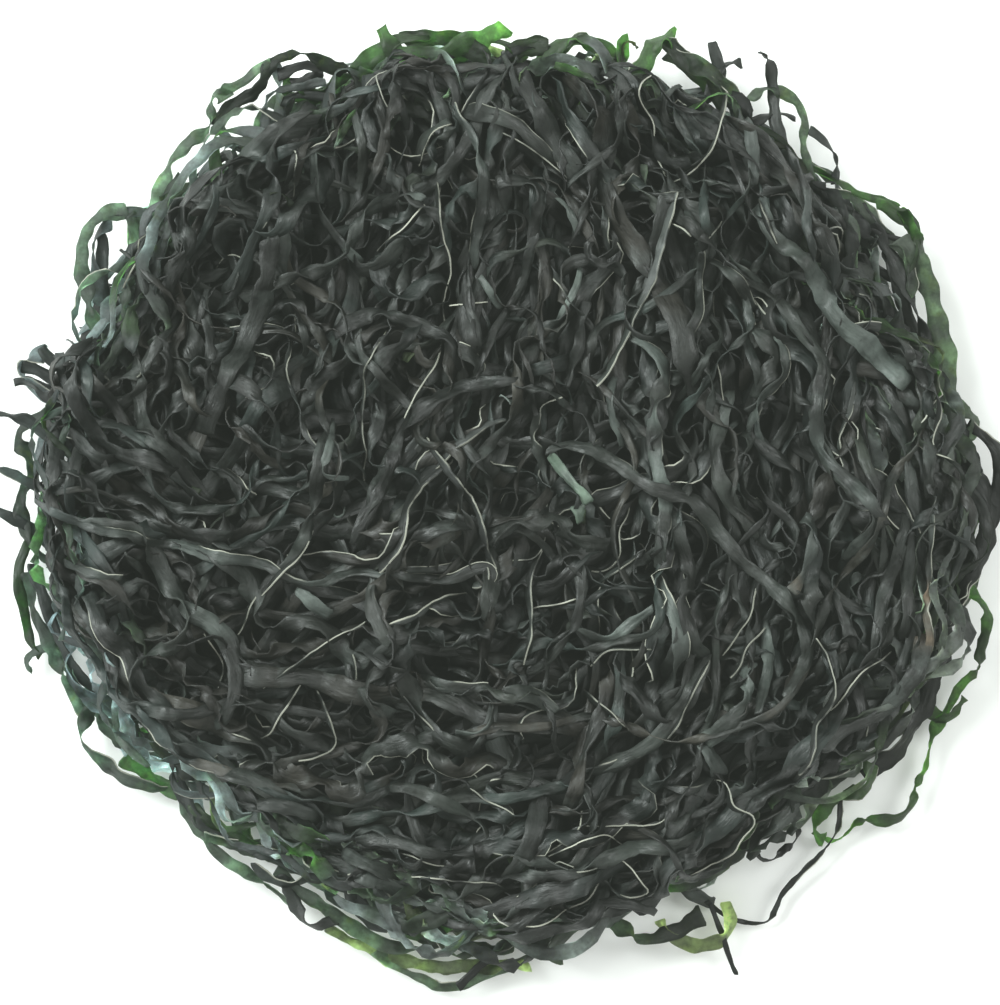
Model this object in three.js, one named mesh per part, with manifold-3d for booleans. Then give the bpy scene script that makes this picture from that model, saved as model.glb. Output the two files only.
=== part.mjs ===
// A round of dried kelp: long ribbons cut from the blade, wound into a flat, loose nest and dried hard.
// Millimetres, +Z up, with the origin under the middle of the nest, on the surface that it lies on.
import * as THREE from "three";
import { mergeVertices } from "three/addons/utils/BufferGeometryUtils.js";
import Module from "manifold-3d";

const wasm = await Module();
wasm.setup();

const seed = 41;

// The nest as a whole
const nestRadius = 114; // to the middle of the loose outer rim
const nestHeight = 36; // over the highest ribbons
const rimLobes = [
  { count: 2, depth: 2.3, turn: 20 }, // how often the rim swells in one turn, by how much, and where
  { count: 4, depth: 1.8, turn: 13 },
  { count: 5, depth: 2.0, turn: 90 },
];

// The packed middle, which the ribbons hide
const core = {
  share: 0.89, // of the nest's radius
  top: 25,
  belly: 11, // the height at which it is widest
  shoulder: 6, // the larger, the flatter its top and the steeper its edge
  lump: 1.4, // height of the lumps that ribbons leave in it
  lumpLength: 19,
  lumpBend: 15, // how soon a row of lumps bends aside
  footRise: 1.5, // how soon its side lifts off the surface that it lies on
  facetsAround: 42,
  facetsUp: 14,
};

// All ribbons
const ribbon = { thickness: 0.9, least: 4.2, most: 6.8, crease: 13, endWidth: 0.7 };

// How ribbons are laid on top of each other
const laying = {
  step: 2, // of the route on which a ribbon is laid
  gap: 1.1, // kept over what lies below
  turns: 24, // the more, the further a stiff ribbon bridges a dip
  endDip: 2.5, // how deep its ends go into the packed middle
  cell: 1.4, // of the map of the heights reached so far
};

// The ribbons on top run round and round at the rim, and in bundles elsewhere.
// Each bundle has its middle, the distance it reaches, and its heading in degrees from +X.
const rimPull = 1.6;
const bundles = [
  { x: 0, y: 80, reach: 38, heading: 95 },
  { x: -72, y: 46, reach: 40, heading: 70 },
  { x: 66, y: 52, reach: 36, heading: 127 },
  { x: 60, y: 10, reach: 40, heading: 96 },
  { x: -95, y: -2, reach: 30, heading: 150 },
  { x: -42, y: -20, reach: 30, heading: 15 },
  { x: -12, y: 14, reach: 24, heading: 62 },
  { x: 46, y: -50, reach: 34, heading: 60 },
  { x: -6, y: -64, reach: 34, heading: 168 },
];
const topRibbons = {
  count: 41,
  tries: 14, // routes drawn for each, of which it takes the barest
  shortest: 80,
  longest: 150,
  sway: 34,
  swayLength: 75,
  roll: 24,
  startsWithin: 0.84, // of the nest's radius
  endsWithin: 0.9,
};

// Ribbons wound round the rim, from an angle to another in degrees
const rimRibbons = {
  count: 16,
  shortest: 56,
  longest: 92,
  lowest: 5,
  highest: 23,
  turn: 137.5, // between one and the next, which spreads any number of them evenly
  stray: 12, // off that turn
  drawnIn: 0.33, // how much the rim narrows above and below its belly
  inMost: 0.95, // of the rim's radius
  outMost: 0.995,
  wave: { count: 2, least: 0.9, most: 2.2 },
  lean: 62,
};

// Ribbons that have sprung out of the rim: from one angle to another in degrees, how far out they reach,
// the height that they lie at, and how often and how far they wave on the way.
const looseLean = 35;
const looseRibbons = [
  { from: 24, to: -24, reach: 121, level: 9, waves: 3, wave: 0.9, width: 4.6 },
  { from: -4, to: -58, reach: 121.5, level: 5, waves: 6, wave: 2.2, width: 3.6 },
  { from: -36, to: -76, reach: 120.5, level: 4, waves: 2, wave: 0.8, width: 2.6 },
  { from: -76, to: -120, reach: 119.5, level: 6, waves: 3, wave: 0.9, width: 4.4 },
  { from: -112, to: -152, reach: 115.5, level: 10, waves: 2, wave: 1.0, width: 4.8 },
  { from: -142, to: -180, reach: 119, level: 7, waves: 2, wave: 0.9, width: 4.6 },
  { from: 192, to: 154, reach: 123, level: 9, waves: 1, wave: 0.6, width: 3.2 },
  { from: 166, to: 128, reach: 117, level: 12, waves: 2, wave: 0.9, width: 4.6 },
  { from: 138, to: 98, reach: 119, level: 12, waves: 3, wave: 0.9, width: 3.6 },
  { from: 108, to: 64, reach: 118.5, level: 14, waves: 3, wave: 1.2, width: 4.8 },
  { from: 78, to: 36, reach: 120, level: 9, waves: 2, wave: 1.1, width: 3.4 },
  { from: 50, to: 14, reach: 118, level: 11, waves: 2, wave: 0.9, width: 3.4 },
];

// Both kinds of ribbon round the side start and end inside the packed middle.
const sideStart = 0.96; // of the packed middle's radius
const sideSpring = 0.65; // the smaller, the sooner a ribbon springs out of it
const sideCrease = 10; // between the points of its route

const radians = THREE.MathUtils.degToRad;
const mix = THREE.MathUtils.lerp;
const fullTurn = 2 * Math.PI;

// Numbers from 0 to 1 that come out the same every time.
function drawFrom(start) {
  let state = start;
  return () => {
    state = (state + 0x6d2b79f5) | 0;
    let mixed = Math.imul(state ^ (state >>> 15), 1 | state);
    mixed = (mixed + Math.imul(mixed ^ (mixed >>> 7), 61 | mixed)) ^ mixed;
    return ((mixed ^ (mixed >>> 14)) >>> 0) / 4294967296;
  };
}
const draw = drawFrom(seed);
const drawBetween = (least, most) => mix(least, most, draw());

// A smooth sway along a ribbon, between about -1 and 1.
function swayer(length) {
  const waves = [1, 0.55, 0.3].map((share) => ({
    height: 0.6 * share,
    length: length * share,
    phase: drawBetween(0, fullTurn),
  }));
  return (along) => waves.reduce(
    (sum, wave) => sum + wave.height * Math.sin((fullTurn * along) / wave.length + wave.phase),
    0,
  );
}

function rimRadius(angle) {
  return rimLobes.reduce(
    (radius, lobe) => radius + lobe.depth * Math.cos(lobe.count * angle + radians(lobe.turn)),
    nestRadius,
  );
}

// The top of the packed middle: flat, with a round shoulder and lumps.
function coreHeight(x, y) {
  const out = Math.min(1, Math.hypot(x, y) / (core.share * rimRadius(Math.atan2(y, x))));
  const rowAcross = Math.sin((fullTurn * x) / core.lumpLength + Math.sin(y / core.lumpBend));
  const rowUp = Math.sin((fullTurn * y) / core.lumpLength + Math.sin(x / core.lumpBend));
  const lump = core.lump * rowAcross * rowUp * (1 - out ** 2);
  return mix(core.belly, core.top, 1 - out ** core.shoulder) + lump;
}

// The packed middle: a sphere whose upper half takes that top and whose lower half is pressed flat.
function coreGeometry() {
  const sphere = new THREE.SphereGeometry(1, core.facetsAround, core.facetsUp).rotateX(Math.PI / 2);
  const place = sphere.getAttribute("position");
  for (let i = 0; i < place.count; i++) {
    const up = place.getZ(i);
    const angle = Math.atan2(place.getY(i), place.getX(i));
    const out = Math.min(1, Math.hypot(place.getX(i), place.getY(i)));
    const radius = core.share * rimRadius(angle) * (up > 0 ? out : Math.sqrt(out));
    const [x, y] = [radius * Math.cos(angle), radius * Math.sin(angle)];
    const side = core.belly * (1 - Math.sqrt(Math.min(1, core.footRise * Math.abs(up))));
    place.setXYZ(i, x, y, up > 0 ? coreHeight(x, y) : side);
  }
  return sphere;
}

// The height reached so far at each place, which the next ribbon is laid over.
class HeightMap {
  constructor(reach, cell, heightAt) {
    this.reach = reach;
    this.cell = cell;
    this.across = Math.ceil((2 * reach) / cell) + 1;
    this.heights = new Float32Array(this.across ** 2);
    for (let row = 0; row < this.across; row++)
      for (let column = 0; column < this.across; column++)
        this.heights[row * this.across + column] = heightAt(column * cell - reach, row * cell - reach);
  }
  index(x, y) {
    const column = THREE.MathUtils.clamp(Math.round((x + this.reach) / this.cell), 0, this.across - 1);
    const row = THREE.MathUtils.clamp(Math.round((y + this.reach) / this.cell), 0, this.across - 1);
    return row * this.across + column;
  }
  at(x, y) {
    return this.heights[this.index(x, y)];
  }
  raise(x, y, z) {
    const i = this.index(x, y);
    this.heights[i] = Math.max(this.heights[i], z);
  }
}
const laidSoFar = new HeightMap(1.2 * nestRadius, laying.cell, coreHeight);

// The way a ribbon runs at a place, in radians from +X. A direction and its reverse are the same here.
function flowHeading(x, y) {
  let [cosine, sine] = [0, 0];
  const pull = (heading, weight) => {
    cosine += weight * Math.cos(2 * heading);
    sine += weight * Math.sin(2 * heading);
  };
  pull(Math.atan2(y, x) + Math.PI / 2, rimPull * (Math.hypot(x, y) / nestRadius) ** 4);
  for (const bundle of bundles) {
    const away = Math.hypot(x - bundle.x, y - bundle.y) / bundle.reach;
    pull(radians(bundle.heading), Math.exp(-(away ** 2)));
  }
  return Math.atan2(sine, cosine) / 2;
}

// Follows the flow from a place, forwards or back, until its length or the shoulder ends it.
function followFlow(start, length, side, sway) {
  const points = [];
  let [x, y, last] = [start.x, start.y, null];
  for (let along = laying.step; along <= length; along += laying.step) {
    let heading = flowHeading(x, y) + radians(topRibbons.sway) * sway(side * along);
    if (last === null ? side < 0 : Math.cos(heading - last) < 0) heading += Math.PI;
    last = heading;
    x += laying.step * Math.cos(heading);
    y += laying.step * Math.sin(heading);
    if (Math.hypot(x, y) > topRibbons.endsWithin * rimRadius(Math.atan2(y, x))) break;
    points.push(new THREE.Vector3(x, y, 0));
  }
  return points;
}

function drawnRoute() {
  const angle = drawBetween(0, fullTurn);
  const out = topRibbons.startsWithin * nestRadius * Math.sqrt(draw());
  const middle = new THREE.Vector3(out * Math.cos(angle), out * Math.sin(angle), 0);
  const half = drawBetween(topRibbons.shortest, topRibbons.longest) / 2;
  const sway = swayer(topRibbons.swayLength);
  return [...followFlow(middle, half, -1, sway).reverse(), middle, ...followFlow(middle, half, 1, sway)];
}

// Unit vectors along a route at one of its points, and level across it.
function alongAndAcross(points, i) {
  const next = points[Math.min(i + 1, points.length - 1)];
  const along = next.clone().sub(points[Math.max(i - 1, 0)]).normalize();
  return [along, new THREE.Vector3(-along.y, along.x, 0).normalize()];
}

// Five spots across a ribbon at one point of its route, each with its rise over that point.
function spotsAcross(points, i, width, roll) {
  const [, across] = alongAndAcross(points, i);
  return [-0.5, -0.25, 0, 0.25, 0.5].map((place) => {
    const spot = points[i].clone().addScaledVector(across, place * width * Math.cos(roll));
    return { x: spot.x, y: spot.y, rise: place * width * Math.sin(roll) };
  });
}

// Lays a level route down on what is there, bridging the dips, and sinks its ends into the middle.
function layDown(points, width, rollAt) {
  const half = ribbon.thickness / 2;
  const spots = points.map((_, i) => spotsAcross(points, i, width, rollAt(i)));
  const lowest = spots.map((row) => Math.max(
    ...row.map(({ x, y, rise }) => laidSoFar.at(x, y) - rise + half + laying.gap),
  ));
  const heights = [...lowest];
  for (let turn = 0; turn < laying.turns; turn++)
    for (let i = 1; i < heights.length - 1; i++)
      heights[i] = Math.max(lowest[i], (heights[i - 1] + heights[i + 1]) / 2);
  points.forEach((point, i) => {
    point.z = heights[i];
    for (const { x, y, rise } of spots[i]) laidSoFar.raise(x, y, point.z + rise + half);
  });
  for (const end of [points[0], points[points.length - 1]]) end.z = coreHeight(end.x, end.y) - laying.endDip;
}

// A ribbon: a strip of plane bent along a route and given its thickness, so that both faces are split alike.
function ribbonGeometry(route, width, rollAt) {
  const creases = Math.max(4, Math.round(route.getLength() / ribbon.crease));
  const strip = new THREE.PlaneGeometry(1, 1, creases, 1);
  const perFace = strip.getAttribute("position").count;
  const places = route.getSpacedPoints(creases);
  const corners = new Float32Array(2 * perFace * 3);
  for (let i = 0; i < perFace; i++) {
    const crease = i % (creases + 1);
    const side = i < creases + 1 ? 0.5 : -0.5;
    const [along, level] = alongAndAcross(places, crease);
    const across = level.applyAxisAngle(along, rollAt(crease / creases));
    const outward = along.clone().cross(across).normalize();
    const taper = crease === 0 || crease === creases ? ribbon.endWidth : 1;
    for (const [face, lift] of [[0, 0.5], [1, -0.5]])
      places[crease].clone()
        .addScaledVector(across, side * width * taper)
        .addScaledVector(outward, lift * ribbon.thickness)
        .toArray(corners, 3 * (i + face * perFace));
  }
  const faces = [...strip.index.array];
  for (let k = strip.index.count - 3; k >= 0; k -= 3)
    faces.push(faces[k + 2] + perFace, faces[k + 1] + perFace, faces[k] + perFace);
  const nearEdge = [...Array(creases + 1).keys()];
  const farEdge = nearEdge.map((corner) => corner + creases + 1).reverse();
  const outline = [...nearEdge, ...farEdge];
  outline.forEach((a, k) => {
    const b = outline[(k + 1) % outline.length];
    faces.push(a, b, a + perFace, b, b + perFace, a + perFace);
  });
  return new THREE.BufferGeometry()
    .setAttribute("position", new THREE.BufferAttribute(corners, 3))
    .setIndex(faces);
}

// The share of a route along which nothing lies yet.
function bareShare(points) {
  const bare = points.filter(({ x, y }) => laidSoFar.at(x, y) < coreHeight(x, y) + ribbon.thickness);
  return bare.length / points.length;
}

// Of several routes, a ribbon on top takes the barest.
function topRibbon() {
  const routes = Array.from({ length: topRibbons.tries }, drawnRoute)
    .filter((points) => points.length * laying.step > topRibbons.shortest / 2);
  const points = routes.reduce((best, other) => (bareShare(other) > bareShare(best) ? other : best));
  const width = drawBetween(ribbon.least, ribbon.most);
  const rolling = swayer(1);
  const last = points.length - 1;
  const rollAt = (share) => radians(topRibbons.roll) * rolling(share);
  layDown(points, width, (i) => rollAt(i / last));
  const route = new THREE.CatmullRomCurve3(points.filter((_, i) => i % 3 === 0 || i === last));
  return ribbonGeometry(route, width, rollAt);
}

// A ribbon round the side, which springs out of the packed middle and goes back into it.
function sideRibbon({ from, to, reach, level, waves, wave, width, lean }) {
  const steps = Math.max(8, Math.round((Math.abs(radians(to - from)) * reach) / sideCrease));
  const points = [];
  for (let i = 0; i <= steps; i++) {
    const share = i / steps;
    const angle = radians(mix(from, to, share));
    const sprung = Math.sin(Math.PI * share) ** sideSpring;
    const swing = fullTurn * waves * share;
    const start = sideStart * core.share * rimRadius(angle);
    const out = mix(start, reach, sprung) + wave * sprung * Math.sin(swing);
    const height = level + wave * sprung * Math.cos(swing);
    points.push(new THREE.Vector3(out * Math.cos(angle), out * Math.sin(angle), height));
  }
  const turning = swayer(1.3);
  const rollAt = (share) => radians(lean) * (0.6 + 0.5 * turning(share));
  return ribbonGeometry(new THREE.CatmullRomCurve3(points), width, rollAt);
}

// Round the rim, from the bottom up: widest at the belly, and drawn in above and below it.
function rimRibbon(number) {
  const level = mix(rimRibbons.lowest, rimRibbons.highest, number / (rimRibbons.count - 1));
  const from = rimRibbons.turn * number + drawBetween(-rimRibbons.stray, rimRibbons.stray);
  const to = from + drawBetween(rimRibbons.shortest, rimRibbons.longest);
  const drawnIn = rimRibbons.drawnIn * (Math.abs(level - core.belly) / nestHeight) ** 1.5;
  const rim = rimRadius(radians((from + to) / 2)) * (1 - drawnIn);
  return sideRibbon({
    from,
    to,
    level,
    reach: rim * drawBetween(rimRibbons.inMost, rimRibbons.outMost),
    waves: rimRibbons.wave.count,
    wave: drawBetween(rimRibbons.wave.least, rimRibbons.wave.most),
    width: drawBetween(ribbon.least, ribbon.most),
    lean: rimRibbons.lean,
  });
}

function solidOf(geometry) {
  const bare = geometry.clone();
  bare.deleteAttribute("normal");
  bare.deleteAttribute("uv");
  const merged = mergeVertices(bare, 1e-4);
  return new wasm.Manifold(new wasm.Mesh({
    numProp: 3,
    vertProperties: new Float32Array(merged.getAttribute("position").array),
    triVerts: new Uint32Array(merged.index.array),
  }));
}

function geometryOf(solid) {
  const { numProp, vertProperties, triVerts } = solid.getMesh();
  const places = [];
  for (let i = 0; i < vertProperties.length; i += numProp) places.push(...vertProperties.subarray(i, i + 3));
  return new THREE.BufferGeometry()
    .setAttribute("position", new THREE.BufferAttribute(new Float32Array(places), 3))
    .setIndex([...triVerts]);
}

// Joins the ribbons to the packed middle. The largest body is kept, without scraps or sealed hollows.
function nestGeometry() {
  const ribbons = [
    ...Array.from({ length: rimRibbons.count }, (_, number) => rimRibbon(number)),
    ...looseRibbons.map((loose) => sideRibbon({ ...loose, lean: looseLean })),
    ...Array.from({ length: topRibbons.count }, topRibbon),
  ];
  const joined = ribbons.reduce((nest, strip) => nest.add(solidOf(strip)), solidOf(coreGeometry()));
  const [largest] = joined.decompose().sort((a, b) => b.volume() - a.volume());
  return geometryOf(largest);
}

const driedKelp = new THREE.MeshStandardMaterial({ color: 0x3b3f3b, roughness: 0.62, metalness: 0 });
const kelpNest = new THREE.Mesh(nestGeometry(), driedKelp);
kelpNest.name = "kelp_nest";

const kelpRound = new THREE.Group();
kelpRound.add(kelpNest);

export default kelpRound;
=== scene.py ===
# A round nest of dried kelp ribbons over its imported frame.
import math

import bmesh
import bpy
import numpy as np
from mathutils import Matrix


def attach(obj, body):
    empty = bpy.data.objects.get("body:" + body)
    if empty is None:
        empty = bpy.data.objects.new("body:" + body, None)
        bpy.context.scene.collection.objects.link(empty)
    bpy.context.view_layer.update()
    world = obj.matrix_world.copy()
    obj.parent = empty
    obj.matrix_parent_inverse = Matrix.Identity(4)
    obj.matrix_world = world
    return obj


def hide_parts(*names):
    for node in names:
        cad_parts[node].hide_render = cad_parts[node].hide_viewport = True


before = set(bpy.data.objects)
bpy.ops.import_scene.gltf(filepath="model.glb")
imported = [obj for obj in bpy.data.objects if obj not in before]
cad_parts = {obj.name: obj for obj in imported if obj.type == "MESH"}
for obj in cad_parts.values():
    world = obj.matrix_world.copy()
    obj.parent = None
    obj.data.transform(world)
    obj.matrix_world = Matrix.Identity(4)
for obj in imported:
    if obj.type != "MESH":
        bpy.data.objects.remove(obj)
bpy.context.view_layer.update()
print("frame loaded, nodes:", len(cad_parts))

mm = 0.001
fullTurn = 2 * math.pi
rng = np.random.default_rng(23)

# The nest as a whole, in mm
nest = {
    "radius": 114.0,  # to the middle of the rim
    "lobes": (  # how often it swells in a turn, by how much, where
        (2, 2.3, 20),
        (4, 1.8, 13),
        (5, 2.0, 90),
    ),
    "belly": 11.0,  # the height at which it is widest
    "drawnIn": 0.33,  # how much the rim narrows above and below that
    "top": 36.0,
    "opener": (  # towards where the rim is opener, how wide, how far
        (68, 22, -0.03),
        (100, 9, -0.045),
        (165, 24, -0.055),
        (225, 26, 0.022),
        (355, 22, -0.03),
    ),
    "paintedLitSides": (  # towards each side of the rim, how much paler it is painted there, and how blue: painted light, palest towards the low lamp and the window, darkest on the far side
        (15, 0.72, 1.0),
        (90, 1.15, 1.01),
        (150, 1.36, 1.05),
        (195, 1.52, 1.09),
        (240, 1.42, 1.04),
        (285, 1.25, 1.0),
        (330, 0.92, 0.97),
    ),
    "fairBand": (0.78, 0.17),  # from how far out the rim's painted light sets in, and over how much it does
}


def rimRadius(angle):
    radius = nest["radius"]
    for count, depth, turn in nest["lobes"]:
        radius = radius + depth * np.cos(count * angle + math.radians(turn))
    return radius


def outShare(x, y):  # 0 in the middle, 1 on the rim
    return np.hypot(x, y) / rimRadius(np.arctan2(y, x))


def packedShare(x, y):  # the same, but counted for more where the rim is open
    spread = 0
    for towards, wide, depth in nest["opener"]:
        turn = np.degrees(np.arctan2(y, x)) - towards
        turn = (turn + 180) % 360 - 180
        spread = spread + depth * np.exp(-(turn / wide) ** 2)
    return outShare(x, y) * (1 + spread)


def rimPaintedLight(x, y, strength=1.0):  # what the colours of the rim are multiplied by, as painted light: paler and bluer towards the lamps
    towards, fair, blue = (np.array(column) for column in zip(*nest["paintedLitSides"]))
    angle = np.degrees(np.arctan2(y, x))
    tone = 1 + strength * (np.interp(angle, towards, fair, period=360) - 1)
    cool = np.interp(angle, towards, blue, period=360)
    tones = np.stack([tone / cool, tone, tone * cool], axis=1)
    start, width = nest["fairBand"]
    share = np.clip((outShare(x, y) - start) / width, 0, 1)[:, None]
    return 1 + share * (tones - 1)


# The camera looks straight down at the belly's height
view = {
    "away": 750.0,  # mm above the belly
    "frameHeight": 241.2,  # mm that it takes in there
    "aimX": -1.44,
    "aimY": -1.8,
    "sensor": 24.0,
    "nearest": 0.01,  # m
}

cameraData = bpy.data.cameras.new("camera")
cameraData.sensor_fit = "VERTICAL"
cameraData.sensor_height = view["sensor"]
cameraData.lens = view["sensor"] * view["away"] / view["frameHeight"]
cameraData.clip_start = view["nearest"]
camera = bpy.data.objects.new("camera", cameraData)
camera.location = (view["aimX"] * mm, view["aimY"] * mm, (view["away"] + nest["belly"]) * mm)
bpy.context.scene.collection.objects.link(camera)
bpy.context.scene.camera = camera

exposure = {
    "transform": "Standard",
    "haze": (0.0191, 0.0220, 0.0189),  # how far a bright room lifts dark tones
}
viewSettings = bpy.context.scene.view_settings
viewSettings.view_transform = exposure["transform"]
viewSettings.use_curve_mapping = True
viewSettings.curve_mapping.black_level = [-lift for lift in exposure["haze"]]
viewSettings.curve_mapping.update()


class Knob:  # one output socket, which takes part in sums as a number does
    def __init__(self, finish, socket):
        self.finish = finish
        self.socket = socket

    def __add__(self, other):
        return self.finish.sum("ADD", self, other)

    def __sub__(self, other):
        return self.finish.sum("SUBTRACT", self, other)

    def __mul__(self, other):
        return self.finish.sum("MULTIPLY", self, other)

    def __radd__(self, other):
        return self.finish.sum("ADD", other, self)

    def __rsub__(self, other):
        return self.finish.sum("SUBTRACT", other, self)

    def __rmul__(self, other):
        return self.finish.sum("MULTIPLY", other, self)

    def sister(self, name):  # another output of the same node
        return Knob(self.finish, self.socket.node.outputs[name])


noiseKinds = {"soft": (2.0, 0.5), "grained": (3.0, 0.6), "fibrous": (4.0, 0.65)}  # detail and roughness


class Finish:  # a material and its nodes
    def __init__(self, name):
        self.material = bpy.data.materials.new(name)
        self.material.use_nodes = True
        self.tree = self.material.node_tree
        self.tree.nodes.clear()

    def node(self, kind, settings, values, output=0):
        made = self.tree.nodes.new(kind)
        for name, value in settings.items():
            setattr(made, name, value)
        for name, value in values.items():
            if isinstance(value, Knob):
                self.tree.links.new(value.socket, made.inputs[name])
            else:
                made.inputs[name].default_value = value
        return Knob(self, made.outputs[output]) if made.outputs else self.material

    def sum(self, operation, first, second):
        return self.node("ShaderNodeMath", {"operation": operation}, {0: first, 1: second})

    def blend(self, share, first, second, how="MIX"):  # sockets 6, 7 and 2 are the ones for colours
        settings = {"data_type": "RGBA", "blend_type": how, "clamp_factor": True}
        return self.node("ShaderNodeMix", settings, {0: share, 6: first, 7: second}, 2)

    def ramp(self, value, low, high):  # 0 below low, 1 above high
        settings = {"interpolation_type": "SMOOTHSTEP", "clamp": True}
        return self.node("ShaderNodeMapRange", settings, {"Value": value, "From Min": low, "From Max": high})

    def noise(self, place, scale, kind="soft"):
        detail, roughness = noiseKinds[kind]
        values = {"Vector": place, "Scale": scale, "Detail": detail, "Roughness": roughness}
        return self.node("ShaderNodeTexNoise", {}, values)

    def wrap(self, surface):
        return self.node("ShaderNodeOutputMaterial", {}, {"Surface": surface})


def colour(red, green, blue):
    return (red, green, blue, 1.0)


floorLook = {"size": 3.0, "colour": colour(0.93, 0.93, 0.92), "roughness": 0.7}  # m


def makeFloor():
    shape = bmesh.new()
    bmesh.ops.create_grid(shape, x_segments=1, y_segments=1, size=floorLook["size"] / 2)
    mesh = bpy.data.meshes.new("floor")
    shape.to_mesh(mesh)
    shape.free()
    floor = bpy.data.objects.new("floor", mesh)
    bpy.context.scene.collection.objects.link(floor)
    finish = Finish("paleFloor")
    values = {"Base Color": floorLook["colour"], "Roughness": floorLook["roughness"]}
    mesh.materials.append(finish.wrap(finish.node("ShaderNodeBsdfPrincipled", {}, values)))


domeLook = {"colour": colour(0.96, 1.0, 0.96), "strength": 0.7}
lamps = {  # places and sizes in m
    "window": {"place": (-0.95, 0.7, 1.05), "size": 0.8, "power": 34.0, "colour": (0.92, 1.0, 0.97)},
    "side": {"place": (0.8, 0.35, 0.9), "size": 0.6, "power": 8.0, "colour": (0.95, 1.0, 0.98)},
    "low": {"place": (-1.1, -0.25, 0.34), "size": 0.5, "power": 7.0, "colour": (0.95, 1.0, 0.99)},
}


def makeLamp(name, look):
    data = bpy.data.lights.new(name, "AREA")
    data.size = look["size"]
    data.energy = look["power"]
    data.color = look["colour"]
    lamp = bpy.data.objects.new(name, data)
    lamp.location = look["place"]
    lamp.rotation_euler = (-lamp.location).to_track_quat("-Z", "Y").to_euler()
    bpy.context.scene.collection.objects.link(lamp)


def makeDome():
    world = bpy.data.worlds.new("dome")
    world.use_nodes = True
    sky = world.node_tree.nodes["Background"]
    sky.inputs["Color"].default_value = domeLook["colour"]
    sky.inputs["Strength"].default_value = domeLook["strength"]
    bpy.context.scene.world = world


makeFloor()
for name, look in lamps.items():
    makeLamp(name, look)
makeDome()
print("camera, floor and light made")


kelpColours = {  # from the thick blades to the thin ones, then bleached ones, a painted highlight and a stain
    "ink": (0.0074, 0.0084, 0.0072),
    "slate": (0.0128, 0.0154, 0.0133),
    "bark": (0.0150, 0.0138, 0.0108),
    "teal": (0.0120, 0.0172, 0.0153),
    "moss": (0.0220, 0.0275, 0.0205),
    "leaf": (0.0165, 0.0280, 0.0120),
    "lime": (0.0325, 0.0380, 0.0225),
    "mist": (0.0400, 0.0435, 0.0415),
    # A painted highlight rather than a kelp colour: the pale tone of blades turned to the window
    "paintedHighlight": (0.0520, 0.0620, 0.0560),
    "pale": (0.0800, 0.1120, 0.0850),
    "rust": (0.1900, 0.1350, 0.0900),
}

bladeLook = {
    # The pale line along one cut edge is partly the paler cut tissue and partly a painted highlight where
    # light catches the edge
    "edgeTissueAndGlint": colour(0.34, 0.345, 0.29),
    "edgeBand": (0.10, 0.30),  # mm from the cut edge, over which its paleness fades
    "edgeSize": 130.0,  # stretches in a metre, as all the sizes of patches are
    "edgeShown": (0.66, 0.9),  # the noise over which a stretch of edge turns pale
    "edgeKept": 0.55,  # how much less it fades on a ribbon with pale edges
    "bloomColour": colour(0.055, 0.065, 0.059),
    "bloomSize": 110.0,
    "bloomShown": (0.54, 0.72),
    "bloom": 0.5,
    "blotchSize": 260.0,
    "streakSize": (0.9, 4.2, 1.0),  # along, across, in turns to a centimetre
    "grainSize": (4.0, 7.0, 1.0),
    "fibreSize": 2.0,
    "blotchTone": 1.6,
    "streakTone": 0.34,
    "toneLoss": 0.04,
    "roughness": (0.38, 0.68),
    "roughShown": (0.35, 0.65),
    "streakHeight": 0.7,
    "wrinkle": 0.0016,
    "wrinkled": 0.3,
    "bend": 1.45,  # of light
    "spotSize": 330.0,
    "spotShown": (0.5, 0.7),
    "spots": 0.45,
    "spotColour": colour(0.42, 0.50, 0.18),  # where the light comes through brightest
    "glowGain": colour(13.0, 13.0, 13.0),
    "dullGlow": 0.5,  # how far light comes through the thinnest, in patches
    "glow": 0.95,
    "patchSize": 230.0,
    "patchShown": (0.4, 0.6),
}


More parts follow.
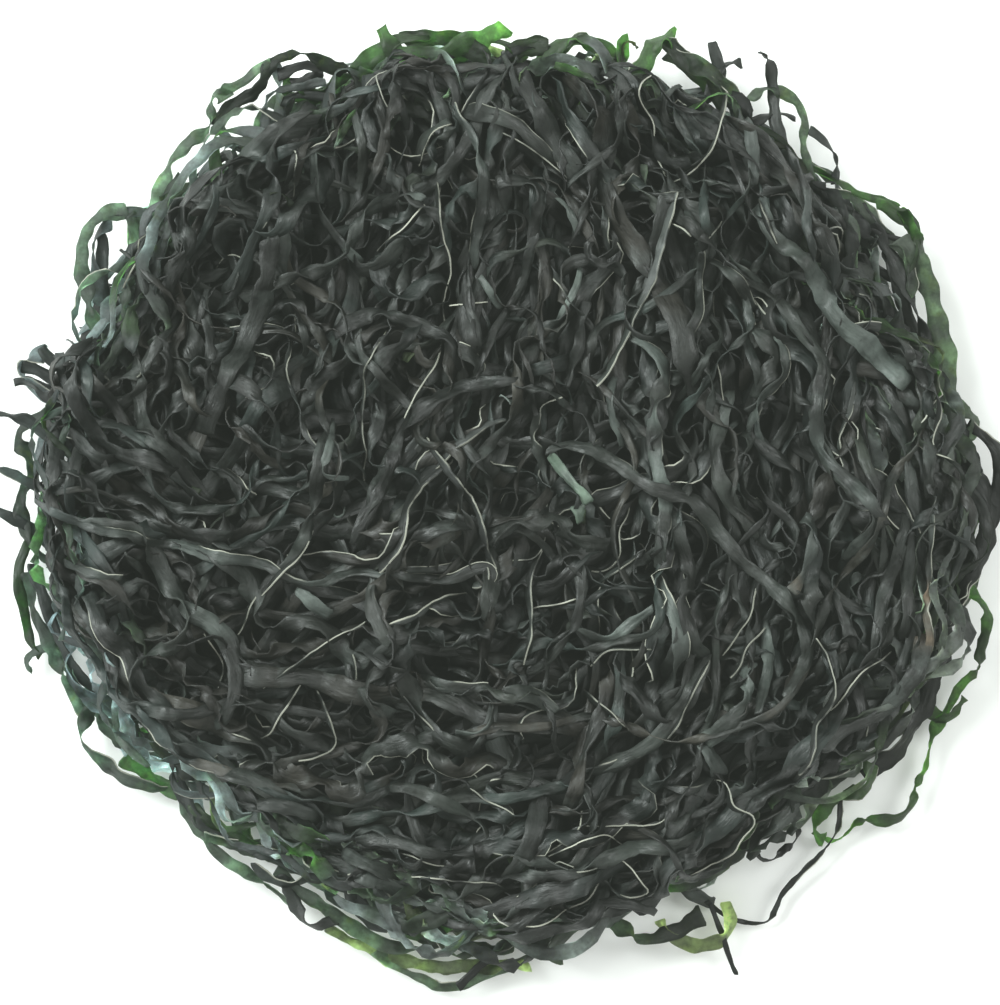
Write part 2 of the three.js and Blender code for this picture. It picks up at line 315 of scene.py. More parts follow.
def bladeFinish():
    finish = Finish("kelpBlade")
    place = finish.node("ShaderNodeTexCoord", {}, {}, "Object")
    strip = finish.node("ShaderNodeUVMap", {"uv_map": "strip"}, {})
    tint = finish.node("ShaderNodeAttribute", {"attribute_name": "tint"}, {})
    thin = tint.sister("Alpha")
    band = finish.node("ShaderNodeUVMap", {"uv_map": "band"}, {})
    inward = finish.node("ShaderNodeSeparateXYZ", {}, {"Vector": band})
    pale = inward.sister("Y")
    paler = finish.noise(place, bladeLook["edgeSize"]) + bladeLook["edgeKept"] * pale
    fade = finish.ramp(paler, *bladeLook["edgeShown"])
    # A pale line along one cut edge: paler cut tissue, and a painted highlight of light on that edge
    edge = (1.0 - finish.ramp(inward, *bladeLook["edgeBand"])) * pale * fade
    streakPlace, grainPlace = (
        finish.node("ShaderNodeMapping", {}, {"Vector": strip, "Scale": bladeLook[size]})
        for size in ("streakSize", "grainSize")
    )
    blotch = finish.noise(place, bladeLook["blotchSize"], "grained")
    streak = finish.noise(streakPlace, bladeLook["fibreSize"], "grained")
    grain = finish.noise(grainPlace, bladeLook["fibreSize"])
    shade = bladeLook["blotchTone"] * blotch + bladeLook["streakTone"] * streak - bladeLook["toneLoss"]
    shadeColour = finish.node("ShaderNodeCombineColor", {}, {0: shade, 1: shade, 2: shade})
    blade = finish.blend(1.0, tint, shadeColour, "MULTIPLY")
    dusts = finish.noise(place, bladeLook["bloomSize"], "fibrous")
    bloom = bladeLook["bloom"] * finish.ramp(dusts, *bladeLook["bloomShown"])
    # The blade's colour under its whitish bloom of dust
    dustAndTopLight = finish.blend(bloom, blade, bladeLook["bloomColour"])
    base = finish.blend(edge, dustAndTopLight, bladeLook["edgeTissueAndGlint"])
    low, high = bladeLook["roughness"]
    roughness = low + (high - low) * finish.ramp(blotch * 0.5 + streak * 0.5, *bladeLook["roughShown"])
    height = streak * bladeLook["streakHeight"] + grain * (1 - bladeLook["streakHeight"])
    folds = {"Strength": bladeLook["wrinkled"], "Distance": bladeLook["wrinkle"], "Height": height}
    bump = finish.node("ShaderNodeBump", {}, folds)
    values = {"Base Color": base, "Roughness": roughness, "Normal": bump, "IOR": bladeLook["bend"]}
    skin = finish.node("ShaderNodeBsdfPrincipled", {}, values)
    thinner = finish.noise(place, bladeLook["spotSize"], "grained")
    spots = finish.ramp(thinner, *bladeLook["spotShown"]) * thin * bladeLook["spots"]
    lit = finish.blend(1.0, blade, bladeLook["glowGain"], "MULTIPLY")
    glow = finish.blend(spots, lit, bladeLook["spotColour"])
    through = finish.node("ShaderNodeBsdfTranslucent", {}, {"Color": glow})
    patches = finish.noise(place, bladeLook["patchSize"], "grained")
    patch = finish.ramp(patches, *bladeLook["patchShown"])
    gain = bladeLook["glow"] - bladeLook["dullGlow"]
    share = thin * (bladeLook["dullGlow"] + gain * patch) * (1.0 - edge)
    return finish.wrap(finish.node("ShaderNodeMixShader", {}, {0: share, 1: skin, 2: through}))


coreLook = {
    "stretch": (1.0, 2.4, 3.0),
    "strandSize": 160.0,
    "blotchSize": 60.0,
    "strandTone": 0.7,
    "toneShown": (0.35, 0.65),
    # The core's dark and fair are painted lighter than the ribbons over it: a painted fill that lifts the
    # shade in the gaps down to it
    "dark": colour(0.012, 0.013, 0.012),
    "fair": colour(0.030, 0.034, 0.030),
    "wrinkled": 0.9,
    "wrinkle": 0.002,
    "roughness": 0.62,
}


def coreFinish():
    finish = Finish("packedKelp")
    place = finish.node("ShaderNodeTexCoord", {}, {}, "Object")
    stretched = finish.node("ShaderNodeMapping", {}, {"Vector": place, "Scale": coreLook["stretch"]})
    strands = finish.noise(stretched, coreLook["strandSize"], "fibrous")
    blotch = finish.noise(place, coreLook["blotchSize"])
    tone = strands * coreLook["strandTone"] + blotch * (1 - coreLook["strandTone"])
    base = finish.blend(finish.ramp(tone, *coreLook["toneShown"]), coreLook["dark"], coreLook["fair"])
    folds = {"Strength": coreLook["wrinkled"], "Distance": coreLook["wrinkle"], "Height": strands}
    bump = finish.node("ShaderNodeBump", {}, folds)
    values = {"Base Color": base, "Roughness": coreLook["roughness"], "Normal": bump}
    return finish.wrap(finish.node("ShaderNodeBsdfPrincipled", {}, values))


kelpBlade = bladeFinish()
packedKelp = coreFinish()
print("finishes made")


# What the ribbons on top lie on, in mm
bed = {
    "top": 12.0,
    "brow": 4.5,  # its height where the shoulder ends
    "browAt": 0.93,  # of the rim's radius
    "foot": 0.5,
    "footAt": 1.02,
    "shoulder": 5.0,  # the larger, the flatter the top
    "lump": 1.6,
    "lumpLength": 23.0,
    "lumpBends": (14.0, 17.0),
}


def bedHeight(x, y):
    out = outShare(x, y)
    inside = np.clip(out / bed["browAt"], 0, 1)
    firstBend, secondBend = bed["lumpBends"]
    rows = np.sin(fullTurn * x / bed["lumpLength"] + np.sin(y / firstBend))
    lumps = rows * np.sin(fullTurn * y / bed["lumpLength"] + np.sin(x / secondBend))
    height = bed["brow"] + (bed["top"] - bed["brow"]) * (1 - inside ** bed["shoulder"])
    height = height + bed["lump"] * lumps * (1 - inside ** 2)
    fall = np.clip((out - bed["browAt"]) / (bed["footAt"] - bed["browAt"]), 0, 1)
    return height * (1 - fall ** 2) + bed["foot"] * fall ** 2


def placePiece(name, mesh):
    piece = bpy.data.objects.new(name, mesh)
    bpy.context.scene.collection.objects.link(piece)
    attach(piece, "root")
    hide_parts("kelp_nest")
    return piece


core = {
    "share": 0.8,  # of the rim's radius
    "below": 3.0,  # mm under the bed
    "foot": 2.6,
    "lid": 2.5,  # the larger, the flatter its top
    "sole": 1.6,
    "soleCurve": 0.6,
    "around": 96,
    "up": 40,
}


def makeCore():
    shape = bmesh.new()
    bmesh.ops.create_uvsphere(shape, u_segments=core["around"], v_segments=core["up"], radius=1.0)
    for corner in shape.verts:
        angle = math.atan2(corner.co.y, corner.co.x)
        out = min(1.0, math.hypot(corner.co.x, corner.co.y))
        radius = core["share"] * rimRadius(angle) * (out if corner.co.z > 0 else out ** 0.5)
        x = radius * math.cos(angle)
        y = radius * math.sin(angle)
        top = float(bedHeight(x, y)) - core["below"]
        middle = nest["belly"] - core["below"]
        if corner.co.z > 0:
            z = middle + (top - middle) * min(1.0, corner.co.z * core["lid"])
        else:
            depth = min(1.0, core["sole"] * abs(corner.co.z)) ** core["soleCurve"]
            z = core["foot"] + (middle - core["foot"]) * (1 - depth)
        corner.co = (x * mm, y * mm, z * mm)
    # A sphere's faces come in another order each run, so they are sorted
    shape.verts.index_update()
    places = [tuple(corner.co) for corner in shape.verts]
    faces = sorted([corner.index for corner in face.verts] for face in shape.faces)
    shape.free()
    mesh = bpy.data.meshes.new("kelpCore")
    mesh.from_pydata(places, [], faces)
    mesh.shade_smooth()
    mesh.materials.append(packedKelp)
    print("kelpCore", len(mesh.polygons), "faces")
    return placePiece("kelpCore", mesh)


# How ribbons are laid: routes over the plan, then their heights, then their skins
laying = {
    "step": 0.9,  # mm between the points of a route
    "chunk": 16,  # points that are laid at a time
    "thick": 0.28,
    "gap": 0.12,
    "give": 0.4,  # how much of a standing edge counts in what it rests on
    "bridge": 9,  # points over which a ribbon spans a dip
    "smoothed": 5,
    "passes": 2,
    "cell": 1.0,
    "feelers": 5,  # points across a ribbon that feel what lies under it
    "plan": 1.25,  # how wide the pile is, in the nest's widths
    "softTop": 29.0,  # mm, above which the pile is pressed down
    "pressed": 8.5,
}

flow = {
    "rimPull": 1.1,
    "rimOnly": 4,  # the larger, the nearer the rim it starts
    "bundles": (  # middle, reach, heading in degrees
        (0, 80, 38, 95),
        (-72, 46, 40, 70),
        (66, 52, 36, 127),
        (60, 10, 40, 96),
        (-95, -2, 30, 150),
        (-42, -20, 30, 15),
        (-12, 14, 24, 62),
        (46, -50, 34, 60),
        (-6, -64, 34, 168),
        (-18, 92, 26, 98),
        (28, 88, 24, 112),
        (-85, -40, 28, 166),
        (84, 8, 24, 104),
        (72, -40, 26, 68),
        (-70, -62, 24, 150),
    ),
}


def flowHeading(x, y):  # a heading and its reverse are the same here
    pull = flow["rimPull"] * (np.hypot(x, y) / nest["radius"]) ** flow["rimOnly"]
    roundWay = np.arctan2(y, x) + math.pi / 2
    cosine = pull * np.cos(2 * roundWay)
    sine = pull * np.sin(2 * roundWay)
    for middleX, middleY, reach, heading in flow["bundles"]:
        weight = np.exp(-((x - middleX) ** 2 + (y - middleY) ** 2) / reach ** 2)
        cosine = cosine + weight * math.cos(2 * math.radians(heading))
        sine = sine + weight * math.sin(2 * math.radians(heading))
    return np.arctan2(sine, cosine) / 2


waveShares = (1.0, 0.53, 0.31)  # the lengths of the waves that a sway is made of
waveDepth = 0.62


def sway(along, length, height=1.0):  # a smooth random wave along a ribbon
    total = np.zeros_like(along)
    for share in waveShares:
        phase = rng.uniform(0, fullTurn)
        total += waveDepth * share ** 0.5 * np.sin(fullTurn * along / (length * share) + phase)
    return height * total


wandering = {
    "lively": (0.35, 1.5),  # how far one bends beside the next
    "longer": (0.7, 1.4),
    "deeper": (0.5, 1.4),
    "turnBand": (0.9, 0.1),  # of its limit: from where it turns along the rim, and over how much it does
    "turn": 0.06,
    "inward": 0.01,
    "stub": 0.6,  # of its shortest length, under which a route is passed over
}


def wander(kind):
    # Walks every candidate of a kind at once: each bends by its own waves and is drawn along the flow
    many = kind["count"] * kind["tries"]
    steps = int(kind["longest"] / laying["step"])
    angle = rng.uniform(0, fullTurn, many)
    out = kind["within"] * nest["radius"] * np.sqrt(rng.uniform(0, 1, many))
    x = out * np.cos(angle)
    y = out * np.sin(angle)
    heading = flowHeading(x, y) + rng.choice((0, math.pi), many) + rng.normal(0, kind["stray"], many)
    lively = rng.uniform(*wandering["lively"], many)
    waves = []
    for length, depth in kind["waves"]:
        turns = fullTurn / (length * rng.uniform(*wandering["longer"], many))
        bends = depth * lively * rng.uniform(*wandering["deeper"], many) * turns ** 2
        waves.append((bends, turns, rng.uniform(0, fullTurn, many)))
    start, width = wandering["turnBand"]
    routeX = np.empty((many, steps))
    routeY = np.empty((many, steps))
    for step in range(steps):
        routeX[:, step] = x
        routeY[:, step] = y
        bend = kind["follow"] * np.sin(2 * (flowHeading(x, y) - heading))
        for depth, turns, phase in waves:
            bend = bend + depth * np.sin(turns * step * laying["step"] + phase)
        tangent = np.arctan2(y, x) + math.pi / 2
        tangent = np.where(np.cos(heading - tangent) < 0, tangent + math.pi, tangent)
        near = np.clip((packedShare(x, y) / kind["limit"] - start) / width, 0, 1)
        inward = np.sign(np.sin(np.arctan2(-y, -x) - heading))
        turn = wandering["turn"] * np.sin(tangent - heading) + wandering["inward"] * inward
        bend = bend + near * turn
        heading = heading + laying["step"] * bend
        x = x + laying["step"] * np.cos(heading)
        y = y + laying["step"] * np.sin(heading)
    return routeX, routeY


# How much ribbon lies in each cell of the plan
coverCell = 2.0
coverAcross = 140
cover = np.zeros(coverAcross ** 2)


def coverCells(x, y):
    column = np.clip((x / coverCell + coverAcross / 2).astype(int), 0, coverAcross - 1)
    row = np.clip((y / coverCell + coverAcross / 2).astype(int), 0, coverAcross - 1)
    return row * coverAcross + column


def chooseRoutes(kind):
    # Of its candidates, each ribbon takes the one over the barest ground
    routeX, routeY = wander(kind)
    inside = packedShare(routeX, routeY) < kind["limit"]
    reach = np.where(inside.all(axis=1), inside.shape[1], inside.argmin(axis=1))
    chosen = []
    for number in range(kind["count"]):
        width = rng.uniform(*kind["width"])
        best = None
        for candidate in range(number * kind["tries"], (number + 1) * kind["tries"]):
            wanted = int(rng.uniform(kind["shortest"], kind["longest"]) / laying["step"])
            points = min(wanted, reach[candidate])
            if points < wandering["stub"] * kind["shortest"] / laying["step"]:
                continue
            cells = coverCells(routeX[candidate, :points], routeY[candidate, :points])
            score = cover[cells].mean()
            if best is None or score < best[0]:
                best = (score, candidate, points, cells)
        if best is None:
            continue
        score, candidate, points, cells = best
        np.add.at(cover, cells, width * laying["step"] / coverCell ** 2)
        chosen.append({
            "x": routeX[candidate, :points],
            "y": routeY[candidate, :points],
            "middleWidth": width,
        })
    return chosen


def smoothStep(value):
    value = np.clip(value, 0, 1)
    return value * value * (3 - 2 * value)


shaping = {  # lengths in mm
    "slow": (35, 80),  # from wave to wave, in what changes slowly
    "quick": (13, 28),
    "quickRoll": 0.4,
    "steepest": 1.25,  # radians that it leans over in a bend
    "flip": 5,
    "flipWidths": (2, 5),
    "flipGap": (0.5, 1.5),
    "tip": 0.45,  # the width of a pointed end
    "tipLength": (4, 22),
    "bluntTip": 0.8,
    "bluntLength": 4,
    "widthWave": (24, 60),
    "widthChange": 0.2,
    "cupped": 0.5,
    "cupChange": 0.8,
    "cupRange": (-0.1, 0.42),
    "rippleWave": (9, 16),
    "ragged": 0.07,  # how far an edge strays from its line, in widths
    "raggedWave": (8, 24),
    "slant": 0.55,  # how askew an end is cut
    "slantLength": 1.6,
    "paleWave": 70,
    "paleChange": 0.9,
    "paleEdge": 0.5,
    "darkEdge": -0.8,
    "leastPale": 0.06,
    "alwaysPale": 0.62,
    "arched": 0.4,
    "archChange": 0.9,
    "archFoot": 14,
    "orderWave": (40, 90),
    "tucked": 0.75,  # the share of ribbons whose ends go under the next ones
    "tuckDepth": 0.35,
    "tuckLength": 25,
}


def shapeRibbon(ribbon, kind):
    # Gives a route its widths, its rolls and flips, its cup and its ripples, and the order it is laid in
    x = ribbon["x"]
    y = ribbon["y"]
    along = np.arange(len(x)) * laying["step"]
    length = along[-1]
    ends = np.minimum(along, length - along)
    ribbon["along"] = along
    heading = np.unwrap(np.arctan2(np.gradient(y), np.gradient(x)))
    bend = np.gradient(heading) / laying["step"]
    roll = sway(along, rng.uniform(*shaping["slow"]), math.radians(kind["roll"]))
    quickRoll = math.radians(shaping["quickRoll"] * kind["roll"])
    roll = roll + sway(along, rng.uniform(*shaping["quick"]), quickRoll)
    roll = roll + np.clip(bend * kind["lean"], -shaping["steepest"], shaping["steepest"])
    place = rng.uniform(0, 2 * kind["flipEvery"])
    while place < length:
        turn = rng.choice((-1, 1)) * math.pi
        flipLength = shaping["flip"] + rng.uniform(*shaping["flipWidths"]) * ribbon["middleWidth"]
        roll = roll + turn * smoothStep((along - place) / flipLength)
        place += rng.uniform(*shaping["flipGap"]) * kind["flipEvery"]
    ribbon["roll"] = roll
    taper = np.minimum(1, shaping["tip"] + ends / rng.uniform(*shaping["tipLength"]))
    if rng.uniform() < kind["blunt"]:
        taper = np.minimum(1, shaping["bluntTip"] + ends / shaping["bluntLength"])
    change = sway(along, rng.uniform(*shaping["widthWave"]), shaping["widthChange"])
    ribbon["width"] = ribbon["middleWidth"] * (1 + change) * taper
    cupped = shaping["cupped"] + sway(along, rng.uniform(*shaping["slow"]), shaping["cupChange"])
    ribbon["cup"] = np.clip(kind["cup"] * cupped, *shaping["cupRange"])
    ribbon["ripple"] = sway(along, rng.uniform(*shaping["rippleWave"]), kind["ripple"])
    first, last = rng.uniform(-shaping["slant"], shaping["slant"], 2)
    atFirst = np.exp(-(along / shaping["slantLength"]) ** 2)
    atLast = np.exp(-((length - along) / shaping["slantLength"]) ** 2)
    ribbon["slant"] = first * atFirst + last * atLast
    ragged = kind.get("ragged", shaping["ragged"]) * ribbon["middleWidth"]
    ribbon["left"] = sway(along, rng.uniform(*shaping["raggedWave"]), ragged)
    ribbon["right"] = sway(along, rng.uniform(*shaping["raggedWave"]), ragged)
    pale = sway(along, shaping["paleWave"], shaping["paleChange"])
    pale = pale + shaping["paleEdge" if rng.uniform() < kind["edge"] else "darkEdge"]
    ribbon["edge"] = np.clip(pale, shaping["leastPale" if kind["edge"] < 1 else "alwaysPale"], 1)
    arch = shaping["arched"] + sway(along, rng.uniform(*shaping["slow"]), shaping["archChange"])
    arch = np.maximum(kind["lift"] * arch, 0) * smoothStep(ends / shaping["archFoot"])
    ribbon["lift"] = laying["gap"] + arch
    if "order" not in ribbon:
        order = rng.uniform(*kind["level"]) + sway(along, rng.uniform(*shaping["orderWave"]), kind["weave"])
        if rng.uniform() < shaping["tucked"]:
            order = order - shaping["tuckDepth"] * (1 - smoothStep(ends / shaping["tuckLength"]))
        ribbon["order"] = order


class Pile:  # the height reached at each spot of the plan, and the ribbon that reached it
    def __init__(self):
        self.across = int(2 * laying["plan"] * nest["radius"] / laying["cell"])
        side = (np.arange(self.across) - self.across / 2) * laying["cell"]
        x, y = np.meshgrid(side, side)
        self.top = bedHeight(x, y).ravel()
        self.below = self.top.copy()
        self.owner = np.full(len(self.top), -1)

    def cells(self, x, y):
        column = np.clip((x / laying["cell"] + self.across / 2).round().astype(int), 0, self.across - 1)
        row = np.clip((y / laying["cell"] + self.across / 2).round().astype(int), 0, self.across - 1)
        return row * self.across + column

    def under(self, cells, owner):
        return np.where(self.owner[cells] == owner, self.below[cells], self.top[cells])

    def raiseTo(self, cells, heights, owner):
        order = np.argsort(heights)
        cells = cells[order]
        heights = heights[order]
        own = self.owner[cells] == owner
        taller = heights > self.top[cells]
        fresh = taller & ~own
        lower = ~taller & ~own
        np.maximum.at(self.below, cells[lower], heights[lower])
        self.below[cells[fresh]] = self.top[cells[fresh]]
        self.owner[cells[fresh]] = owner
        self.top[cells[taller]] = heights[taller]


def windows(values, size):
    padded = np.pad(values, size // 2, mode="edge")
    return np.lib.stride_tricks.sliding_window_view(padded, size)


def bridged(heights, size):  # never lower than the heights given
    return windows(windows(heights, size).max(axis=1), size).mean(axis=1)


def weave(ribbons):
    # Lays all the ribbons chunk by chunk in their order, so that they pass over and under each other
    places = np.linspace(-1, 1, laying["feelers"])
    half = laying["thick"] / 2
    probe = Pile()
    chunks = []
    for number, ribbon in enumerate(ribbons):
        heading = np.arctan2(np.gradient(ribbon["y"]), np.gradient(ribbon["x"]))
        side = places[None, :] * ribbon["width"][:, None] / 2
        level = side * np.cos(ribbon["roll"])[:, None]
        x = ribbon["x"][:, None] - np.sin(heading)[:, None] * level
        y = ribbon["y"][:, None] + np.cos(heading)[:, None] * level
        ribbon["cells"] = probe.cells(x, y)
        ribbon["rise"] = laying["give"] * side * np.sin(ribbon["roll"])[:, None]
        ribbon["carried"] = np.full(len(ribbon["x"]), -np.inf)
        for start in range(0, len(ribbon["x"]), laying["chunk"]):
            part = slice(start, min(start + laying["chunk"], len(ribbon["x"])))
            chunks.append((ribbon["order"][part].mean(), number, part))
    chunks.sort(key=lambda chunk: chunk[0])
    for turn in range(laying["passes"]):
        pile = Pile()
        for order, number, part in chunks:
            ribbon = ribbons[number]
            cells = ribbon["cells"][part]
            rise = ribbon["rise"][part]
            support = (pile.under(cells, number) - rise).max(axis=1) + half + ribbon["lift"][part]
            height = np.maximum(support, ribbon["carried"][part])
            ribbon["carried"][part] = height
            pile.raiseTo(cells.ravel(), (height[:, None] + rise + half).ravel(), number)
        last = turn == laying["passes"] - 1
        for ribbon in ribbons:
            ribbon["carried"] = bridged(ribbon["carried"], laying["smoothed" if last else "bridge"])
    for ribbon in ribbons:
        height = windows(ribbon["carried"], laying["smoothed"]).mean(axis=1)
        spare = np.maximum(height - laying["softTop"], 0)
        ribbon["z"] = height - spare + laying["pressed"] * np.tanh(spare / laying["pressed"])


def dipEnds(ribbon, depth, length):
    along = ribbon["along"]
    ends = np.minimum(along, along[-1] - along)
    ribbon["z"] = ribbon["z"] - depth * (1 - np.clip(ends / length, 0, 1)) ** 2


tones = {
    "dull": (0.5, 1.15),
    "light": (1.25, 2.1),
    "dullShare": 0.84,
    "deep": 0.7,  # the tone of the lowest ribbons, painted shade where they lie under the others
    "dustAndTopLight": 1.04,  # that of the highest, which are painted lighter
    "paintedShadeFrom": (0.2, 1),  # in the order they are laid in
    "colourWave": (25, 80),
    "colourChange": 0.8,
    "toneWave": (25, 60),
    "toneChange": 0.25,
    "thinWave": 45,
    "thinChange": 0.5,
}


def paint(ribbon, names, weights, thin=0.0):
    # A ribbon's own colour, which drifts along it, and how far light comes through it
    along = ribbon["along"]
    first, second = rng.choice(len(names), 2, replace=False, p=weights)
    drift = smoothStep(0.5 + sway(along, rng.uniform(*tones["colourWave"]), tones["colourChange"]))[:, None]
    dull = rng.uniform() < tones["dullShare"] * (1 - thin)
    tone = rng.uniform(*tones["dull" if dull else "light"])
    tone = tone * (1 + sway(along, rng.uniform(*tones["toneWave"]), tones["toneChange"]))[:, None]
    colours = np.array([kelpColours[name] for name in names])
    tint = (colours[first] * (1 - drift) + colours[second] * drift) * tone
    alpha = np.clip(thin * (1 + sway(along, tones["thinWave"], tones["thinChange"])), 0, 1)[:, None]
    ribbon["tint"] = np.hstack((tint, alpha))


skin = {
    "columns": 4,
    "row": 2,  # points of a route from one row of faces to the next
    "rows": {"handRibbons": 1, "paleScraps": 1, "looseRibbons": 1, "underRibbons": 3},
    "cupMiddle": 0.4,
    "unit": 10,  # mm to one turn of the ribbon's own map
    "next": 3.7,  # turns from one ribbon to the next
    "under": 1.3,  # and from a ribbon's top to its underside
    "least": 1e-9,  # keeps a length off zero
}


def stripFaces(index):  # the quads of a closed strip: both its blades, then its edges and ends
    top = index[:, 0]
    low = index[:, 1]
    blades = np.concatenate([
        np.stack([top[:-1, :-1], top[1:, :-1], top[1:, 1:], top[:-1, 1:]], -1).reshape(-1, 4),
        np.stack([low[:-1, :-1], low[:-1, 1:], low[1:, 1:], low[1:, :-1]], -1).reshape(-1, 4),
    ])
    edges = np.concatenate([
        np.stack([top[:-1, 0], low[:-1, 0], low[1:, 0], top[1:, 0]], -1),
        np.stack([top[1:, -1], low[1:, -1], low[:-1, -1], top[:-1, -1]], -1),
        np.stack([top[0, :-1], top[0, 1:], low[0, 1:], low[0, :-1]], -1),
        np.stack([top[-1, 1:], top[-1, :-1], low[-1, :-1], low[-1, 1:]], -1),
    ])
    return blades, edges


def unit(vectors):
    return vectors / np.linalg.norm(vectors, axis=1, keepdims=True)


def ribbonRows(ribbon, every):  # what every so many points of a ribbon say, each as a column
    count = len(ribbon["x"])
    keep = np.unique(np.append(np.arange(0, count, every), count - 1))
    parts = ("x", "y", "z", "roll", "width", "cup", "ripple", "slant", "left", "right", "edge", "along")
    return {part: ribbon[part][keep][:, None] for part in parts}, ribbon["tint"][keep]


def stripPlaces(rows, across, thick):  # the corners of a strip, row by row: its top, then its underside
    line = np.hstack([rows["x"], rows["y"], rows["z"]])
    tangent = unit(np.gradient(line, axis=0))
    level = np.stack([-tangent[:, 1], tangent[:, 0], np.zeros(len(line))], axis=1)
    level /= np.linalg.norm(level, axis=1, keepdims=True) + skin["least"]
    side = np.cos(rows["roll"]) * level + np.sin(rows["roll"]) * np.cross(tangent, level)
    out = np.cross(tangent, side)
    frayed = rows["width"] * across / 2 + np.where(across > 0, rows["left"], rows["right"]) * across
    cupped = rows["cup"] * rows["width"] * (across ** 2 - skin["cupMiddle"])
    cupped = cupped + rows["ripple"] * across * np.abs(across)
    slanted = rows["slant"] * rows["width"] * across / 2
    middle = line[:, None, :] + side[:, None, :] * frayed[:, :, None]
    middle = middle + out[:, None, :] * cupped[:, :, None] + tangent[:, None, :] * slanted[:, :, None]
    half = out[:, None, :] * thick / 2
    return np.stack([middle + half, middle - half], axis=1).reshape(-1, 3)


def ribbonMesh(name, ribbons):
    # Skins all ribbons of a kind as one mesh of closed, thin, cupped strips
    columns = skin["columns"]
    across = np.linspace(-1, 1, columns)
    places = []
    tints = []
    quads = []
    smooth = []
    strips = []
    bands = []
    first = 0
    for number, ribbon in enumerate(ribbons):
        rows, tint = ribbonRows(ribbon, skin["rows"].get(name, skin["row"]))
        width = rows["width"]
        places.append(stripPlaces(rows, across, ribbon.get("thick", laying["thick"])))
        tints.append(np.repeat(tint, 2 * columns, axis=0))
        index = np.arange(len(width) * 2 * columns).reshape(len(width), 2, columns)
        blades, edges = stripFaces(index)
        corners = np.concatenate([blades, edges])
        quads.append(corners + first)
        smooth.append(np.repeat((True, False), (len(blades), len(edges))))
        turns = np.repeat(rows["along"], columns, 1) / skin["unit"]
        wide = width * across / (2 * skin["unit"]) + skin["next"] * number
        strip = np.stack([np.stack([turns, wide], -1), np.stack([turns, wide + skin["under"]], -1)], axis=1)
        strips.append(strip.reshape(-1, 2)[corners])
        inward = np.tile(width / 2 * (1 - across), (1, 2))
        band = np.stack([inward, np.repeat(rows["edge"], 2 * columns, 1)], -1)
        bands.append(band.reshape(-1, 2)[corners])
        first += index.size
    quads = np.concatenate(quads)
    mesh = bpy.data.meshes.new(name)
    mesh.vertices.add(first)
    mesh.vertices.foreach_set("co", (np.concatenate(places) * mm).ravel())
    mesh.loops.add(4 * len(quads))
    mesh.loops.foreach_set("vertex_index", quads.ravel())
    mesh.polygons.add(len(quads))
    mesh.polygons.foreach_set("loop_start", np.arange(0, 4 * len(quads), 4))
    mesh.polygons.foreach_set("use_smooth", np.concatenate(smooth))
    mesh.update(calc_edges=True)
    for layerName, layerPlaces in (("strip", strips), ("band", bands)):
        layer = mesh.uv_layers.new(name=layerName)
        layer.data.foreach_set("uv", np.concatenate(layerPlaces).ravel())
    tint = mesh.attributes.new("tint", "FLOAT_COLOR", "POINT")
    tint.data.foreach_set("color", np.concatenate(tints).ravel())
    mesh.materials.append(kelpBlade)
    print(name, len(ribbons), "ribbons,", 2 * len(quads), "triangles")
    return mesh


# The ribbons on top, kind by kind, in mm and degrees. They start within a share of the radius and stay inside
# a limit. Level is their turn in the laying, from 0 to 1, and weave is how far they pass over and under each
# other. In the groups further down, facing is how far a blade turns its flat side to the window.
topKinds = {
    "bedRibbons": {
        "count": 120, "tries": 8, "shortest": 90, "longest": 240, "width": (2.8, 5.0), "within": 0.82,
        "limit": 0.84, "stray": 0.9, "follow": 0.012, "waves": ((100, 9), (46, 2.6)), "roll": 24, "lean": 7,
        "flipEvery": 110, "blunt": 0.5, "cup": 0.03, "ripple": 0.2, "edge": 0.05, "level": (0.0, 0.5),
        "weave": 0.12, "lift": 0.5,
    },
    "wideRibbons": {
        "count": 54, "tries": 8, "shortest": 90, "longest": 230, "width": (3.8, 5.6), "within": 0.84,
        "limit": 0.89, "stray": 0.4, "follow": 0.026, "waves": ((95, 8), (44, 3.0), (21, 1.1)), "roll": 34,
        "lean": 9, "flipEvery": 70, "blunt": 0.5, "cup": 0.03, "ripple": 0.22, "edge": 0.06,
        "level": (0.3, 0.95), "weave": 0.16, "lift": 1.4,
    },
    "commonRibbons": {
        "count": 165, "tries": 8, "shortest": 70, "longest": 210, "width": (2.2, 3.9), "within": 0.86,
        "limit": 0.915, "stray": 0.65, "follow": 0.02, "waves": ((80, 7), (40, 3.0), (19, 1.3)), "roll": 44,
        "lean": 10, "flipEvery": 48, "blunt": 0.5, "cup": 0.04, "ripple": 0.22, "edge": 0.1,
        "level": (0.35, 1.0), "weave": 0.2, "lift": 1.6,
    },
    "narrowRibbons": {
        "count": 66, "tries": 6, "shortest": 50, "longest": 150, "width": (1.2, 2.3), "within": 0.88,
        "limit": 0.93, "stray": 0.8, "follow": 0.016, "waves": ((65, 7), (32, 2.6), (16, 1.1)), "roll": 44,
        "lean": 9, "flipEvery": 42, "blunt": 0.3, "cup": 0.04, "ripple": 0.15, "edge": 0.12,
        "level": (0.4, 1.0), "weave": 0.2, "lift": 1.4,
    },
}


routing = {"cuts": 3, "cut": 0.25}  # how often each corner is cut off, and where


def smoothRoute(points):
    # Rounds the corners of a listed route and spaces its points evenly
    line = np.array(points, dtype=float)
    for turn in range(routing["cuts"]):
        near = (1 - routing["cut"]) * line[:-1] + routing["cut"] * line[1:]
        far = routing["cut"] * line[:-1] + (1 - routing["cut"]) * line[1:]
        line = np.concatenate([line[:1], np.stack([near, far], axis=1).reshape(-1, 2), line[-1:]])
    lengths = np.append(0, np.cumsum(np.hypot(*np.diff(line, axis=0).T)))
    along = np.arange(0, lengths[-1], laying["step"])
    spaced = [np.interp(along, lengths, line[:, axis]) for axis in (0, 1)]
    return [windows(values, laying["smoothed"]).mean(axis=1) for values in spaced]
